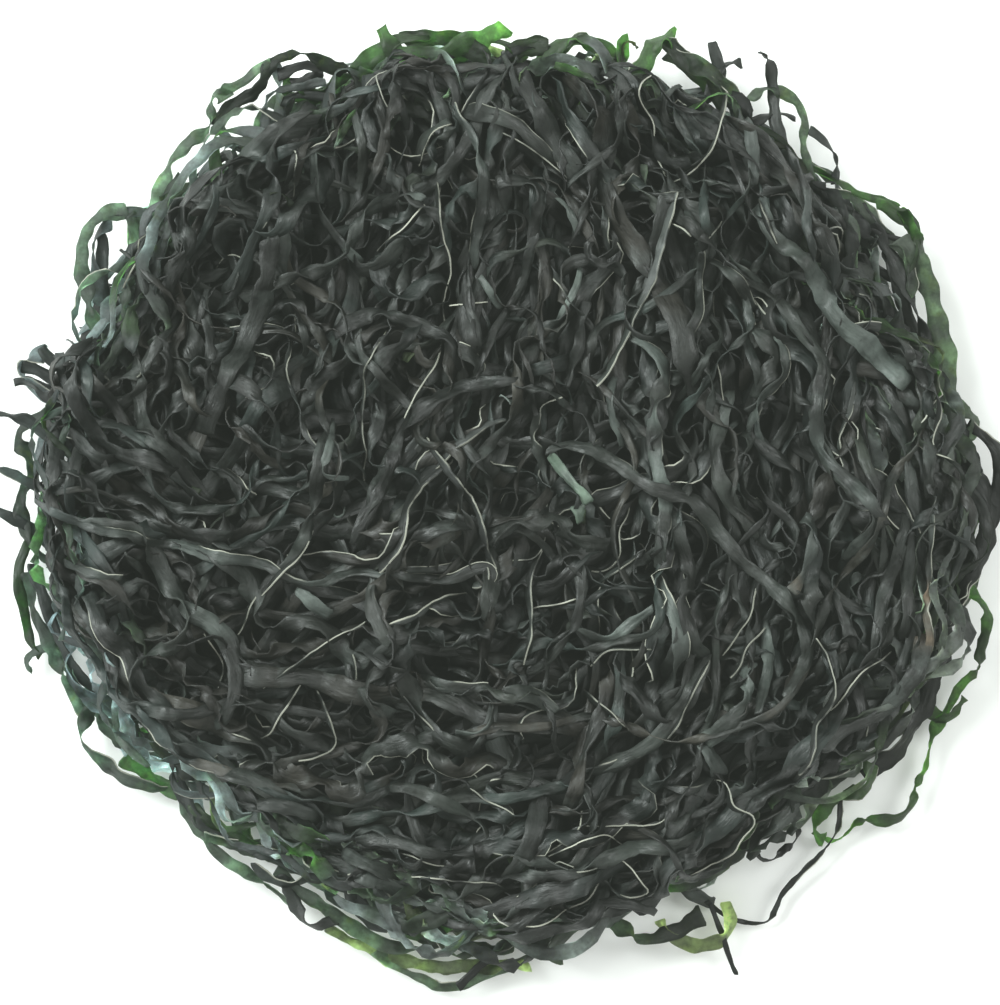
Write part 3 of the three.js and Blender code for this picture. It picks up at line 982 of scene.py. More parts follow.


# Ribbons laid one by one, each group over the last: a width, then a route in mm at the belly's height
# Painted light: the dust-and-light factor paints the ribbons on top paler, and the blades turned to the
# window palest
handKind = {
    "roll": 24, "lean": 8, "flipEvery": 130, "blunt": 0.3, "cup": 0.04, "ripple": 0.2, "edge": 0.12,
    "lift": 0.4, "facing": 0.3, "standing": 0, "slim": 1.0, "thin": 0.04, "thick": 0.28,
    "colours": ("ink", "slate"), "weights": (0.5, 0.5), "piece": "handRibbons", "dustAndTopLight": 1.0,
}
handGroups = {
    "bands": {"slim": 0.82, "dustAndTopLight": 1.12, "routes": (
        (5.8, (-56, 62), (-58, 50), (-62, 40), (-66, 31), (-74, 14)),
        (4.2, (-42, 18), (-45, 5), (-48, -8), (-52, -17), (-57, -21), (-63, -30)),
        (3.4, (-79, 44), (-81, 40), (-84, 36), (-87, 31), (-87, 26), (-90, 23), (-95, 21), (-100, 22)),
        (4.0, (-107, -16), (-101, -18), (-95, -20), (-91, -20)),
        (6.0, (2, 103), (8, 91), (13, 84), (17, 76)),
        (3.2, (-27, 97), (-25, 94), (-24, 90), (-24, 86)),
        (4.0, (32, 73), (37, 71), (42, 72), (47, 72), (51, 70), (53, 66), (52, 62)),
        (6.0, (59, 40), (65, 36), (66, 32), (62, 28), (60, 23)),
        (4.5, (101, 16), (102, 10), (103, 4)),
        (4.4, (87, -1), (89, -6), (87, -10), (84, -13), (81, -17)),
        (4.0, (96, -4), (95, -11), (93, -18), (91, -25), (89, -32), (88, -40)),
        (3.6, (100, 18), (102, 11), (101, 4), (102, -2)),
        (4.6, (101, -33), (98, -43), (92, -51), (85, -55), (73, -60)),
        (3.8, (97, -8), (96, -18), (97, -28), (95, -36)),
        (4.2, (55, 26), (52, 17), (50, 11), (51, 5), (54, -2), (58, -6), (62, -12)),
        (4.5, (-42, 38), (-39, 41), (-35, 43), (-30, 45), (-25, 42),
         (-21, 41), (-16, 39), (-12, 37), (-11, 29)),
        (4.5, (-26, 14), (-28, 10), (-30, 5), (-31, 1), (-33, -2), (-35, -8), (-35, -14)),
        (6.0, (-12, 36), (-7, 33), (-6, 28)),
        (5.0, (-4, -12), (-3, -18), (-4, -25), (-6, -31)),
        (4.5, (-22, -44), (-16, -46), (-11, -47), (-3, -46)),
        (5.0, (-1, -47), (6, -48), (9, -50), (13, -53)),
        (4.4, (-32, -19), (-33, -24), (-32, -29), (-30, -33), (-27, -37)),
        (4.0, (-60, -74), (-54, -74), (-48, -76), (-44, -78)),
        (4.0, (-40, -86), (-33, -88), (-28, -91), (-25, -93)),
        (3.6, (-29, -71), (-21, -71), (-15, -74), (-9, -77), (-5, -80), (-4, -84)),
        (3.6, (-37, -83), (-30, -83), (-23, -84), (-18, -86), (-12, -87)),
        (5.0, (9, -70), (8, -76), (7, -80), (5, -85), (2, -90), (-1, -95)),
        (4.0, (20, -98), (25, -97), (32, -98), (37, -101)),
        (4.4, (4, 28), (-5, 27), (-12, 26), (-17, 23), (-21, 20), (-25, 17),
         (-27, 11), (-28, 5), (-33, -4), (-38, -13)),
        (3.0, (37, -70), (42, -71), (46, -71), (50, -69)),
    )},
    # Painted highlight: some of these blades are painted with the pale highlight tone
    "blades": {"facing": 1.0, "roll": 18, "colours": ("slate", "ink", "paintedHighlight"), "weights": (0.4, 0.3, 0.3),
        "edge": 0.25, "slim": 0.85, "dustAndTopLight": 1.32, "routes": (
        (3.0, (-114, -1), (-102, -7), (-96, -9), (-90, -9), (-86, -12), (-78, -12),
         (-71, -15), (-59, -16), (-52, -21), (-45, -22), (-37, -18), (-27, -20)),
        (5.0, (-79, -26), (-72, -30), (-67, -35), (-64, -44), (-66, -51), (-71, -57)),
        (3.6, (-81, -23), (-81, -26), (-82, -30)),
        (2.4, (-73, 8), (-70, 7), (-66, 5), (-64, 1), (-61, -1)),
        (2.4, (-72, 52), (-73, 47), (-75, 41), (-76, 36)),
        (2.4, (-93, 14), (-87, 16), (-83, 14), (-81, 11)),
        (2.4, (-69, -19), (-67, -21), (-68, -24)),
        (2.4, (-38, 96), (-36, 90), (-35, 86), (-34, 82), (-35, 78), (-36, 75), (-37, 71)),
        (2.4, (-46, 82), (-46, 76), (-46, 70), (-43, 65), (-40, 61), (-37, 58), (-35, 56)),
        (4.4, (-13, 90), (-18, 88), (-21, 84), (-22, 79)),
        (3.6, (-14, 96), (-12, 91), (-8, 86), (-6, 81), (-5, 75), (-6, 68), (-8, 61), (-8, 54)),
        (2.4, (-55, 70), (-57, 66), (-59, 62)),
        (2.4, (-49, 66), (-49, 61), (-51, 58)),
        (3.0, (-31, 70), (-28, 71), (-24, 73), (-22, 72), (-19, 70)),
        (2.0, (-1, 108), (0, 104), (2, 100), (3, 95)),
        (3.4, (-3, 75), (3, 76), (7, 75), (9, 72), (7, 68), (6, 58)),
        (2.6, (27, 100), (26, 94), (27, 90), (28, 87), (27, 84), (24, 82), (20, 79), (17, 77), (14, 74)),
        (2.6, (21, 72), (24, 70), (24, 66), (24, 63), (25, 60), (26, 57)),
        (3.0, (11, 73), (15, 70), (17, 65), (18, 62)),
        (2.6, (42, 68), (45, 66), (47, 61), (48, 58)),
        (3.0, (57, 90), (59, 80), (59, 73)),
        (5.4, (60, 70), (64, 60), (70, 57), (75, 51), (79, 42), (85, 37), (90, 33), (97, 26)),
        (3.0, (64, 40), (67, 36), (68, 31), (67, 28), (63, 25), (61, 22), (60, 17), (59, 13)),
        (2.6, (70, 36), (71, 32), (70, 28), (71, 23), (71, 19)),
        (2.2, (101, -4), (102, -10), (101, -17), (102, -22), (100, -28), (102, -33), (101, -39)),
        (2.0, (84, 30), (84, 25), (83, 20), (81, 16), (80, 13), (81, 10)),
        (4.0, (55, 54), (66, 48), (69, 41), (75, 35), (77, 30), (74, 22), (76, 12), (80, 4), (87, -3)),
        (3.4, (76, 35), (76, 28), (74, 22), (75, 15), (76, 10), (80, 6), (84, 2), (88, -4), (92, -8)),
        (2.4, (52, 60), (55, 55), (57, 54), (60, 52), (64, 50)),
        (2.6, (49, 44), (52, 41), (53, 37), (51, 36), (48, 34), (47, 30), (44, 26), (41, 22)),
        (4.5, (30, 38), (33, 37), (37, 34), (39, 29), (38, 26), (36, 23), (35, 19),
         (36, 13), (36, 8), (37, 4), (39, -2), (38, -8), (37, -13), (37, -19)),
        (3.0, (27, 36), (26, 34), (24, 30), (22, 28), (19, 28)),
        (2.6, (27, 30), (25, 25), (25, 22), (26, 18), (28, 14), (28, 11)),
        (2.4, (18, 59), (18, 54), (17, 50), (15, 47), (13, 43), (12, 41)),
        (3.0, (20, 48), (18, 42), (18, 37), (17, 34), (15, 29), (14, 25)),
        (2.6, (14, 24), (10, 23), (8, 21), (7, 17), (6, 13), (8, 10), (9, 7), (9, 4), (11, 0)),
        (3.2, (13, 22), (15, 19), (16, 17), (15, 14)),
        (3.0, (-55, 42), (-52, 45), (-50, 42), (-48, 36), (-50, 33)),
        (3.0, (-43, 38), (-45, 35), (-46, 30), (-48, 26), (-48, 23)),
        (2.6, (-36, 41), (-36, 36), (-34, 32), (-31, 30), (-30, 28), (-27, 25), (-24, 22), (-22, 20)),
        (3.0, (-9, 59), (-9, 54), (-10, 49), (-9, 44), (-7, 40), (-6, 35)),
        (2.2, (-7, 54), (-5, 51), (-3, 48), (-1, 45)),
        (2.0, (-15, 35), (-15, 30), (-14, 26)),
        (2.6, (-27, 55), (-23, 58), (-18, 57)),
        (2.0, (-24, 7), (-22, 10), (-20, 13), (-19, 16)),
        (2.4, (-42, 19), (-42, 13), (-43, 8), (-45, 5), (-42, 4), (-37, 4)),
        (3.6, (-51, -22), (-48, -25), (-45, -28), (-42, -30)),
        (3.0, (-43, -4), (-41, -7), (-39, -5), (-37, -2)),
        (5.0, (-35, -35), (-29, -40), (-24, -45), (-21, -54), (-15, -60), (-7, -62)),
        (2.6, (-18, -37), (-13, -37), (-10, -36), (-6, -37)),
        (4.0, (-35, -46), (-34, -50), (-30, -52), (-27, -54)),
        (3.2, (-7, -48), (-3, -49), (-3, -54), (-5, -57), (-9, -58), (-13, -57)),
        (2.4, (-5, -57), (-7, -61), (-10, -64)),
        (5.6, (-5, -11), (2, -6), (8, -6), (12, -5), (14, -9), (18, -12), (29, -12)),
        (2.8, (18, -16), (18, -20), (18, -25), (17, -30), (15, -34), (12, -38), (8, -42), (4, -44)),
        (3.2, (17, -32), (20, -34), (23, -35), (26, -35), (29, -32), (32, -30), (36, -26)),
        (4.0, (37, -19), (38, -25), (41, -30), (42, -35), (42, -40), (40, -46), (35, -52)),
        (4.4, (40, -2), (42, -11), (44, -17), (45, -22), (42, -25), (43, -30), (45, -36), (49, -40)),
        (2.4, (60, -16), (57, -18), (54, -20), (53, -25), (50, -30),
         (51, -37), (51, -42), (51, -48), (50, -53), (46, -60)),
        (5.0, (59, -40), (57, -44), (59, -49), (55, -53), (52, -56), (47, -60)),
        (3.6, (80, -18), (78, -22), (80, -25), (82, -30), (83, -35), (83, -38)),
        (2.0, (90, -7), (91, -12), (91, -17), (90, -22)),
        (2.0, (70, -2), (66, -8), (62, -14)),
        (3.6, (72, -5), (75, -8), (74, -12), (73, -18), (71, -21), (68, -24)),
        (3.6, (63, -30), (63, -36), (64, -41), (62, -47), (60, -53)),
        (4.0, (9, 10), (13, 12), (18, 12), (23, 10), (29, 6), (35, 1), (44, 0),
         (48, -4), (52, -10), (57, -16), (61, -19), (67, -25), (70, -28),
         (72, -33), (73, -38), (72, -41), (69, -45), (66, -49)),
        (4.0, (-46, -80), (-43, -83), (-44, -86)),
        (4.0, (43, -76), (40, -80), (37, -82)),
        (4.0, (18, -67), (25, -67), (31, -64), (35, -61)),
        (4.4, (49, -38), (44, -49), (41, -54), (37, -59), (31, -63), (20, -68)),
        (4.0, (71, -71), (69, -76), (67, -78), (62, -82), (61, -85), (59, -90)),
        (4.5, (42, -94), (44, -96), (49, -100), (52, -100)),
    )},
    "threads": {
        "standing": 70, "facing": 0.0, "roll": 14, "lean": 0, "flipEvery": 900, "edge": 1.0, "ripple": 0.1,
        "thick": 0.3, "lift": 1.0, "routes": (
        (2.2, (-59, -47), (-54, -44), (-48, -39), (-40, -34), (-36, -32), (-33, -30)),
        (2.0, (-17, 78), (-16, 66), (-15, 60), (-13, 55), (-14, 52), (-16, 47), (-15, 41)),
        (1.6, (35, 101), (31, 97), (31, 94), (36, 90), (35, 86), (36, 82), (39, 76)),
        (1.8, (54, 101), (53, 97), (51, 89), (49, 82), (46, 79), (42, 76), (38, 75)),
        (1.4, (-52, 82), (-49, 82), (-50, 78), (-51, 73), (-52, 70)),
        (1.8, (-31, 59), (-29, 61), (-24, 64), (-21, 68), (-19, 70)),
        (1.6, (-31, 100), (-30, 96), (-29, 93), (-27, 90)),
        (1.6, (-3, 88), (6, 83), (12, 79), (15, 76)),
        (1.3, (39, 66), (42, 64), (45, 61)),
        (1.3, (52, 66), (50, 63), (47, 60)),
        (1.3, (75, 62), (79, 64), (81, 63), (80, 59)),
        (1.6, (60, 71), (62, 64), (65, 59)),
        (1.2, (85, 42), (87, 40), (90, 38)),
        (1.4, (59, 49), (61, 46), (62, 43), (65, 42)),
        (1.4, (51, 32), (52, 26), (53, 22)),
        (1.3, (-29, 40), (-31, 36), (-33, 32), (-35, 30), (-34, 26), (-35, 23),
         (-35, 18), (-35, 13), (-34, 10), (-35, 6), (-35, 4), (-34, 0)),
        (1.4, (-16, 37), (-17, 32), (-19, 29), (-21, 26), (-23, 22), (-25, 18)),
        (1.4, (-14, 46), (-10, 46), (-4, 47)),
        (1.6, (-47, -7), (-48, -11), (-49, -14), (-52, -17), (-54, -18), (-58, -23), (-61, -26)),
        (1.6, (-39, -36), (-37, -40), (-36, -43), (-37, -47)),
        (1.8, (-47, -47), (-45, -49), (-43, -54), (-41, -59), (-41, -61), (-46, -63), (-51, -64)),
        (2.0, (-49, -44), (-52, -49), (-55, -53), (-57, -58), (-60, -59)),
        (1.6, (-28, -45), (-25, -49), (-21, -54), (-15, -60)),
        (2.0, (-1, -17), (3, -16), (7, -16), (9, -13), (10, -9)),
        (2.2, (9, -13), (6, -18), (5, -23), (6, -28), (6, -34), (5, -37), (4, -42)),
        (1.4, (6, -28), (8, -27), (12, -27), (18, -25)),
        (2.0, (30, -2), (30, -5), (27, -8), (27, -11), (28, -14), (26, -17), (23, -19), (20, -18)),
        (2.2, (33, -14), (30, -16), (25, -19), (20, -23)),
        (1.3, (47, -21), (49, -22), (53, -24)),
        (2.2, (61, -20), (60, -25), (59, -30), (56, -33), (54, -37), (52, -40)),
        (1.4, (63, -32), (60, -35), (58, -36), (57, -40), (56, -43), (53, -45)),
        (2.0, (18, -47), (20, -49), (22, -51), (25, -52), (27, -55), (30, -57)),
        (1.6, (30, -36), (31, -42), (30, -46), (29, -47)),
        (1.8, (36, -37), (30, -37), (24, -37), (22, -40), (20, -42)),
        (2.0, (49, -40), (46, -45), (44, -49), (42, -55), (38, -60)),
        (2.2, (74, -34), (77, -38), (78, -42), (79, -46), (78, -49), (76, -52),
         (73, -54), (73, -58), (72, -61), (71, -65), (69, -67)),
        (1.6, (78, -52), (81, -49), (84, -44), (87, -41), (91, -40), (94, -37)),
        (1.4, (83, -66), (79, -67), (74, -69)),
        (1.4, (63, -75), (67, -73), (69, -71)),
        (1.6, (-9, -67), (-6, -70), (-3, -73)),
        (1.8, (-9, -71), (-7, -73), (-4, -75), (-1, -75), (3, -78)),
        (1.8, (-27, -86), (-22, -87), (-18, -89), (-13, -90), (-11, -91)),
        (1.8, (-23, -92), (-16, -92), (-9, -93), (-4, -93), (-1, -94), (-1, -96)),
        (2.0, (18, -80), (23, -80), (27, -80), (35, -80), (38, -78), (41, -74)),
        (2.0, (8, -88), (13, -85), (19, -82), (24, -81), (26, -83), (29, -85)),
        (1.6, (13, -90), (18, -90), (22, -89), (24, -88)),
        (2.0, (25, -86), (29, -88), (31, -91), (33, -94), (35, -95), (31, -96), (27, -96), (25, -94)),
        (2.0, (3, -103), (9, -103), (13, -101), (18, -98), (21, -96), (23, -92)),
        (2.0, (50, -69), (53, -69), (54, -71), (53, -74), (55, -76), (58, -76), (60, -78),
         (59, -80), (56, -82), (55, -85), (51, -88), (47, -90), (42, -92), (40, -92)),
        (1.3, (-73, -33), (-71, -36), (-70, -38), (-68, -42),
         (-69, -44), (-70, -47), (-69, -49), (-67, -50)),
        (1.6, (-60, -24), (-62, -26), (-63, -30), (-65, -34), (-67, -36)),
        (1.8, (-67, -57), (-64, -58), (-60, -60)),
        (1.2, (-87, 58), (-90, 54), (-92, 50), (-95, 47), (-95, 45), (-94, 42)),
        (1.6, (-71, 54), (-69, 57), (-65, 58), (-61, 55)),
        (1.4, (-107, 14), (-103, 13), (-102, 10)),
        (1.4, (-46, 83), (-40, 83), (-36, 86)),
    )},
    "crossings": {
        "standing": 52, "facing": 0.0, "roll": 12, "lean": 0, "flipEvery": 900, "edge": 1.0, "thick": 0.34,
        "colours": ("slate", "mist"), "routes": (
        (2.0, (0.5, 18.5), (-4.3, 17.5), (-8.2, 14.2), (-12.5, 11.8), (-15.6, 7.9), (-18, 5.5)),
        (3.4, (-14, 9), (-16, 7), (-20.6, 3.6), (-23, -1.2), (-24.7, -5),
         (-24.3, -8.9), (-26.4, -13.7), (-31.2, -18.5)),
        (2.2, (-19.7, 13.7), (-15.6, 7.9), (-11, 1.7), (-7.2, -3.1),
         (-5.8, -7.9), (-4.3, -14.6), (-2.4, -19.4)),
        (2.4, (41, 73), (38, 62), (35, 51), (31, 44), (29, 38), (24, 29), (21, 26)),
        (1.8, (-31, -32), (-27, -31), (-22, -30), (-19, -27), (-15, -25), (-9, -24)),
        (1.6, (-5, -17), (-4, -20), (-6, -22), (-9, -22)),
    )},
    "edged": {"facing": 0.8, "lean": 0, "flipEvery": 900, "edge": 1.0, "colours": ("ink", "slate"),
        "routes": (
        (4.0, (-10, 93), (-4, 91), (4, 88), (12, 79)),
        (3.6, (49, 57), (53, 54), (57, 50), (59, 47), (61, 44)),
        (2.4, (47, 59), (47, 53), (47, 49), (47, 44), (45, 41), (44, 39), (42, 37)),
        (2.4, (-28, -18), (-24, -20), (-19, -20), (-14, -21), (-10, -19),
         (-6, -17), (-3, -18), (-3, -21), (-7, -22)),
        (1.6, (-26, -18), (-21, -18), (-16, -18), (-12, -17), (-7, -16)),
    )},
    "greens": {"facing": 0.7, "blunt": 1, "colours": ("leaf", "lime"), "thin": 0.3, "routes": (
        (2.4, (-58, 71), (-55, 73), (-52, 71), (-51, 68)),
        (1.4, (-78, 2), (-75, 1), (-73, 0)),
        (2.6, (-25, 32), (-23, 35)),
        (2.8, (18, -1), (18, -4), (18, -8)),
    )},
    # Painted highlight: these bright pieces face the window and are painted pale with mist and the highlight
    # tone
    "bright": {"piece": "paleScraps", "facing": 1.0, "blunt": 1, "roll": 25, "colours": ("mist", "paintedHighlight"),
        "weights": (0.5, 0.5), "dustAndTopLight": 1.3, "routes": (
        (3.0, (-33, 23), (-32, 20), (-30, 17)),
        (3.0, (-1, 24), (1, 24), (2, 21)),
        (3.6, (47, -60), (49, -62), (51, -66), (52, -69)),
        (3.0, (-3, -49), (-3, -54), (-5, -57)),
        (3.6, (-36, -36), (-32, -38), (-28, -42)),
        (2.4, (24, 30), (22, 28), (19, 28)),
        (2.2, (58, 20), (61, 22), (63, 25)),
    )},
    "scraps": {"piece": "paleScraps", "facing": 0.8, "blunt": 1, "roll": 40, "colours": ("pale", "mist"),
        "weights": (0.8, 0.2), "routes": (
        (2.6, (10, 10), (13, 7), (15, 4), (19, 0), (20, -3)),
        (1.4, (15, 8), (15, 6), (13, 1)),
        (2.8, (17, -2), (18, -5), (18, -8)),
    )},
}

handLaying = {
    "over": 1.1,  # the order of the first, where 1 is the last of all the others
    "next": 0.004,
    "inward": ((0.6, 0.95), (0.972, 0.99)),  # as they are nearer to the eye than the belly
    "glint": (0.33, 0.24, 0.91),  # from where the window shines in the blades
    "facingWave": 50,
    "faced": 0.6,
    "facingChange": 0.5,
}

stain = {
    "colour": "rust",
    "strength": 0.9,
    "spots": (  # where, and how large
        (101, -24, 2.6), (101, -29, 1.6), (102, -34, 2.6), (-71, -36, 2.0), (67, -20, 1.6),
    ),
}


def stainRibbon(ribbon):
    for x, y, reach in stain["spots"]:
        near = np.exp(-((ribbon["x"] - x) ** 2 + (ribbon["y"] - y) ** 2) / reach ** 2)[:, None]
        change = np.array(kelpColours[stain["colour"]]) - ribbon["tint"][:, :3]
        ribbon["tint"][:, :3] += stain["strength"] * near * change


def makeHandRibbons():
    ribbons = []
    for group in handGroups.values():
        kind = {**handKind, **group}
        for width, *points in group["routes"]:
            x, y = smoothRoute(points)
            inward = np.interp(outShare(x, y), *handLaying["inward"])
            order = np.full(len(x), handLaying["over"] + handLaying["next"] * len(ribbons))
            ribbon = {"x": x * inward, "y": y * inward, "middleWidth": width * kind["slim"], "order": order}
            shapeRibbon(ribbon, kind)
            heading = np.arctan2(np.gradient(y), np.gradient(x))
            right, far, up = handLaying["glint"]
            facing = -np.arctan2(right * np.sin(heading) + far * np.cos(heading), up)
            turn = sway(ribbon["along"], handLaying["facingWave"], handLaying["facingChange"])
            share = kind["facing"] * (handLaying["faced"] + turn)
            ribbon["roll"] = ribbon["roll"] + share * facing + math.radians(kind["standing"])
            ribbon["thick"] = kind["thick"]
            ribbon["piece"] = kind["piece"]
            paint(ribbon, kind["colours"], kind["weights"], kind["thin"])
            # Painted light: the top ribbons are painted paler, and near the rim paler and bluer towards the
            # lamps
            ribbon["tint"][:, :3] *= kind["dustAndTopLight"] * rimPaintedLight(ribbon["x"], ribbon["y"])
            stainRibbon(ribbon)
            ribbons.append(ribbon)
    return ribbons


# Ribbons that are wound round the rim. They swing inwards every so many mm, by a share of that, wiggle,
# lie askew and tuck their ends in
rimKinds = {
    "rimRibbons": {
        "count": 205, "out": (0.89, 0.99), "gather": 0.9, "shortest": 25, "longest": 110,
        "width": (1.4, 4.2), "every": (26, 64), "swing": (0.1, 0.34), "wiggle": 0.45, "askew": 11,
        "tuck": 8, "lowest": 1.5, "highest": 21, "colours": ("slate", "mist", "moss", "leaf"),
        "weights": (0.18, 0.54, 0.2, 0.08), "thin": 0.68, "ragged": 0.1, "roll": 32, "lean": 6,
        "flipEvery": 48, "blunt": 0.5, "cup": 0.05, "ripple": 0.25, "edge": 0.12, "lift": 0,
    },
    "greenRibbons": {
        "count": 62, "out": (0.93, 1.005), "gather": 1.0, "shortest": 25, "longest": 90,
        "width": (1.4, 4.0), "every": (28, 70), "swing": (0.1, 0.3), "wiggle": 0.5, "askew": 12,
        "tuck": 12, "lowest": 1.5, "highest": 16, "colours": ("mist", "moss", "leaf", "lime"),
        "weights": (0.4, 0.28, 0.22, 0.1), "thin": 0.8, "ragged": 0.11, "roll": 32, "lean": 6,
        "flipEvery": 48, "blunt": 0.6, "cup": 0.05, "ripple": 0.25, "edge": 0.12, "lift": 0,
    },
}

floorRoom = {"gap": 0.25, "flat": 0.06, "points": 9}


def liftOffFloor(ribbon):
    reach = ribbon["width"] * (0.5 * np.abs(np.sin(ribbon["roll"])) + floorRoom["flat"])
    lowest = floorRoom["gap"] + reach + np.abs(ribbon["ripple"]).max()
    ribbon["z"] = bridged(np.maximum(ribbon["z"], lowest), floorRoom["points"])


winding = {
    "apart": 0.618,  # turns from one ribbon's start to the next
    "startStray": 0.1,
    "swingWave": 90,
    "swingChange": 0.9,
    "wiggleWave": (14, 26),
    "wiggled": (0.2, 1.5),
    "tucked": (0.2, 1),
    "tuckLength": (15, 30),
    "room": 2.5,  # mm above and below the belly where the rim is widest
    "roomCurve": 2 / 3,
    "rise": 2.2,
}


def rimRibbon(kind, number):
    length = rng.uniform(kind["shortest"], kind["longest"])
    along = np.arange(0, length, laying["step"])
    low, high = kind["out"]
    share = low + (high - low) * rng.uniform() ** kind["gather"]
    start = fullTurn * (number * winding["apart"] % 1)
    start = start + rng.uniform(-winding["startStray"], winding["startStray"])
    angle = start + rng.choice((-1, 1)) * along / (share * nest["radius"])
    every = rng.uniform(*kind["every"])
    swing = fullTurn * along / every + sway(along, winding["swingWave"], winding["swingChange"])
    swing = swing + rng.uniform(0, fullTurn)
    out = share * rimRadius(angle) - every * rng.uniform(*kind["swing"]) * (0.5 - 0.5 * np.cos(swing))
    wave = rng.uniform(*winding["wiggleWave"])
    out = out + sway(along, wave, kind["wiggle"] * rng.uniform(*winding["wiggled"]))
    out = out - kind["askew"] * rng.uniform() * abs(along / length - rng.choice((0, 1)))
    ends = np.minimum(along, along[-1] - along)
    tuck = kind["tuck"] * rng.uniform(*winding["tucked"])
    out = out - tuck * (1 - smoothStep(ends / rng.uniform(*winding["tuckLength"])))
    drawnIn = np.clip(1 - share, 0, 1) / nest["drawnIn"]
    room = winding["room"] + nest["top"] * drawnIn ** winding["roomCurve"]
    lowest = max(kind["lowest"], nest["belly"] - room)
    highest = min(kind["highest"], nest["belly"] + room)
    ribbon = {"x": out * np.cos(angle), "y": out * np.sin(angle), "order": np.zeros(len(along))}
    ribbon["middleWidth"] = rng.uniform(*kind["width"])
    shapeRibbon(ribbon, kind)
    level = rng.uniform(lowest, highest)
    ribbon["z"] = level + sway(along, rng.uniform(*shaping["slow"]), winding["rise"])
    liftOffFloor(ribbon)
    paint(ribbon, kind["colours"], kind["weights"], kind["thin"])
    # Painted light: the rim is painted paler and bluer towards the lamps
    ribbon["tint"][:, :3] *= rimPaintedLight(ribbon["x"], ribbon["y"])
    return ribbon


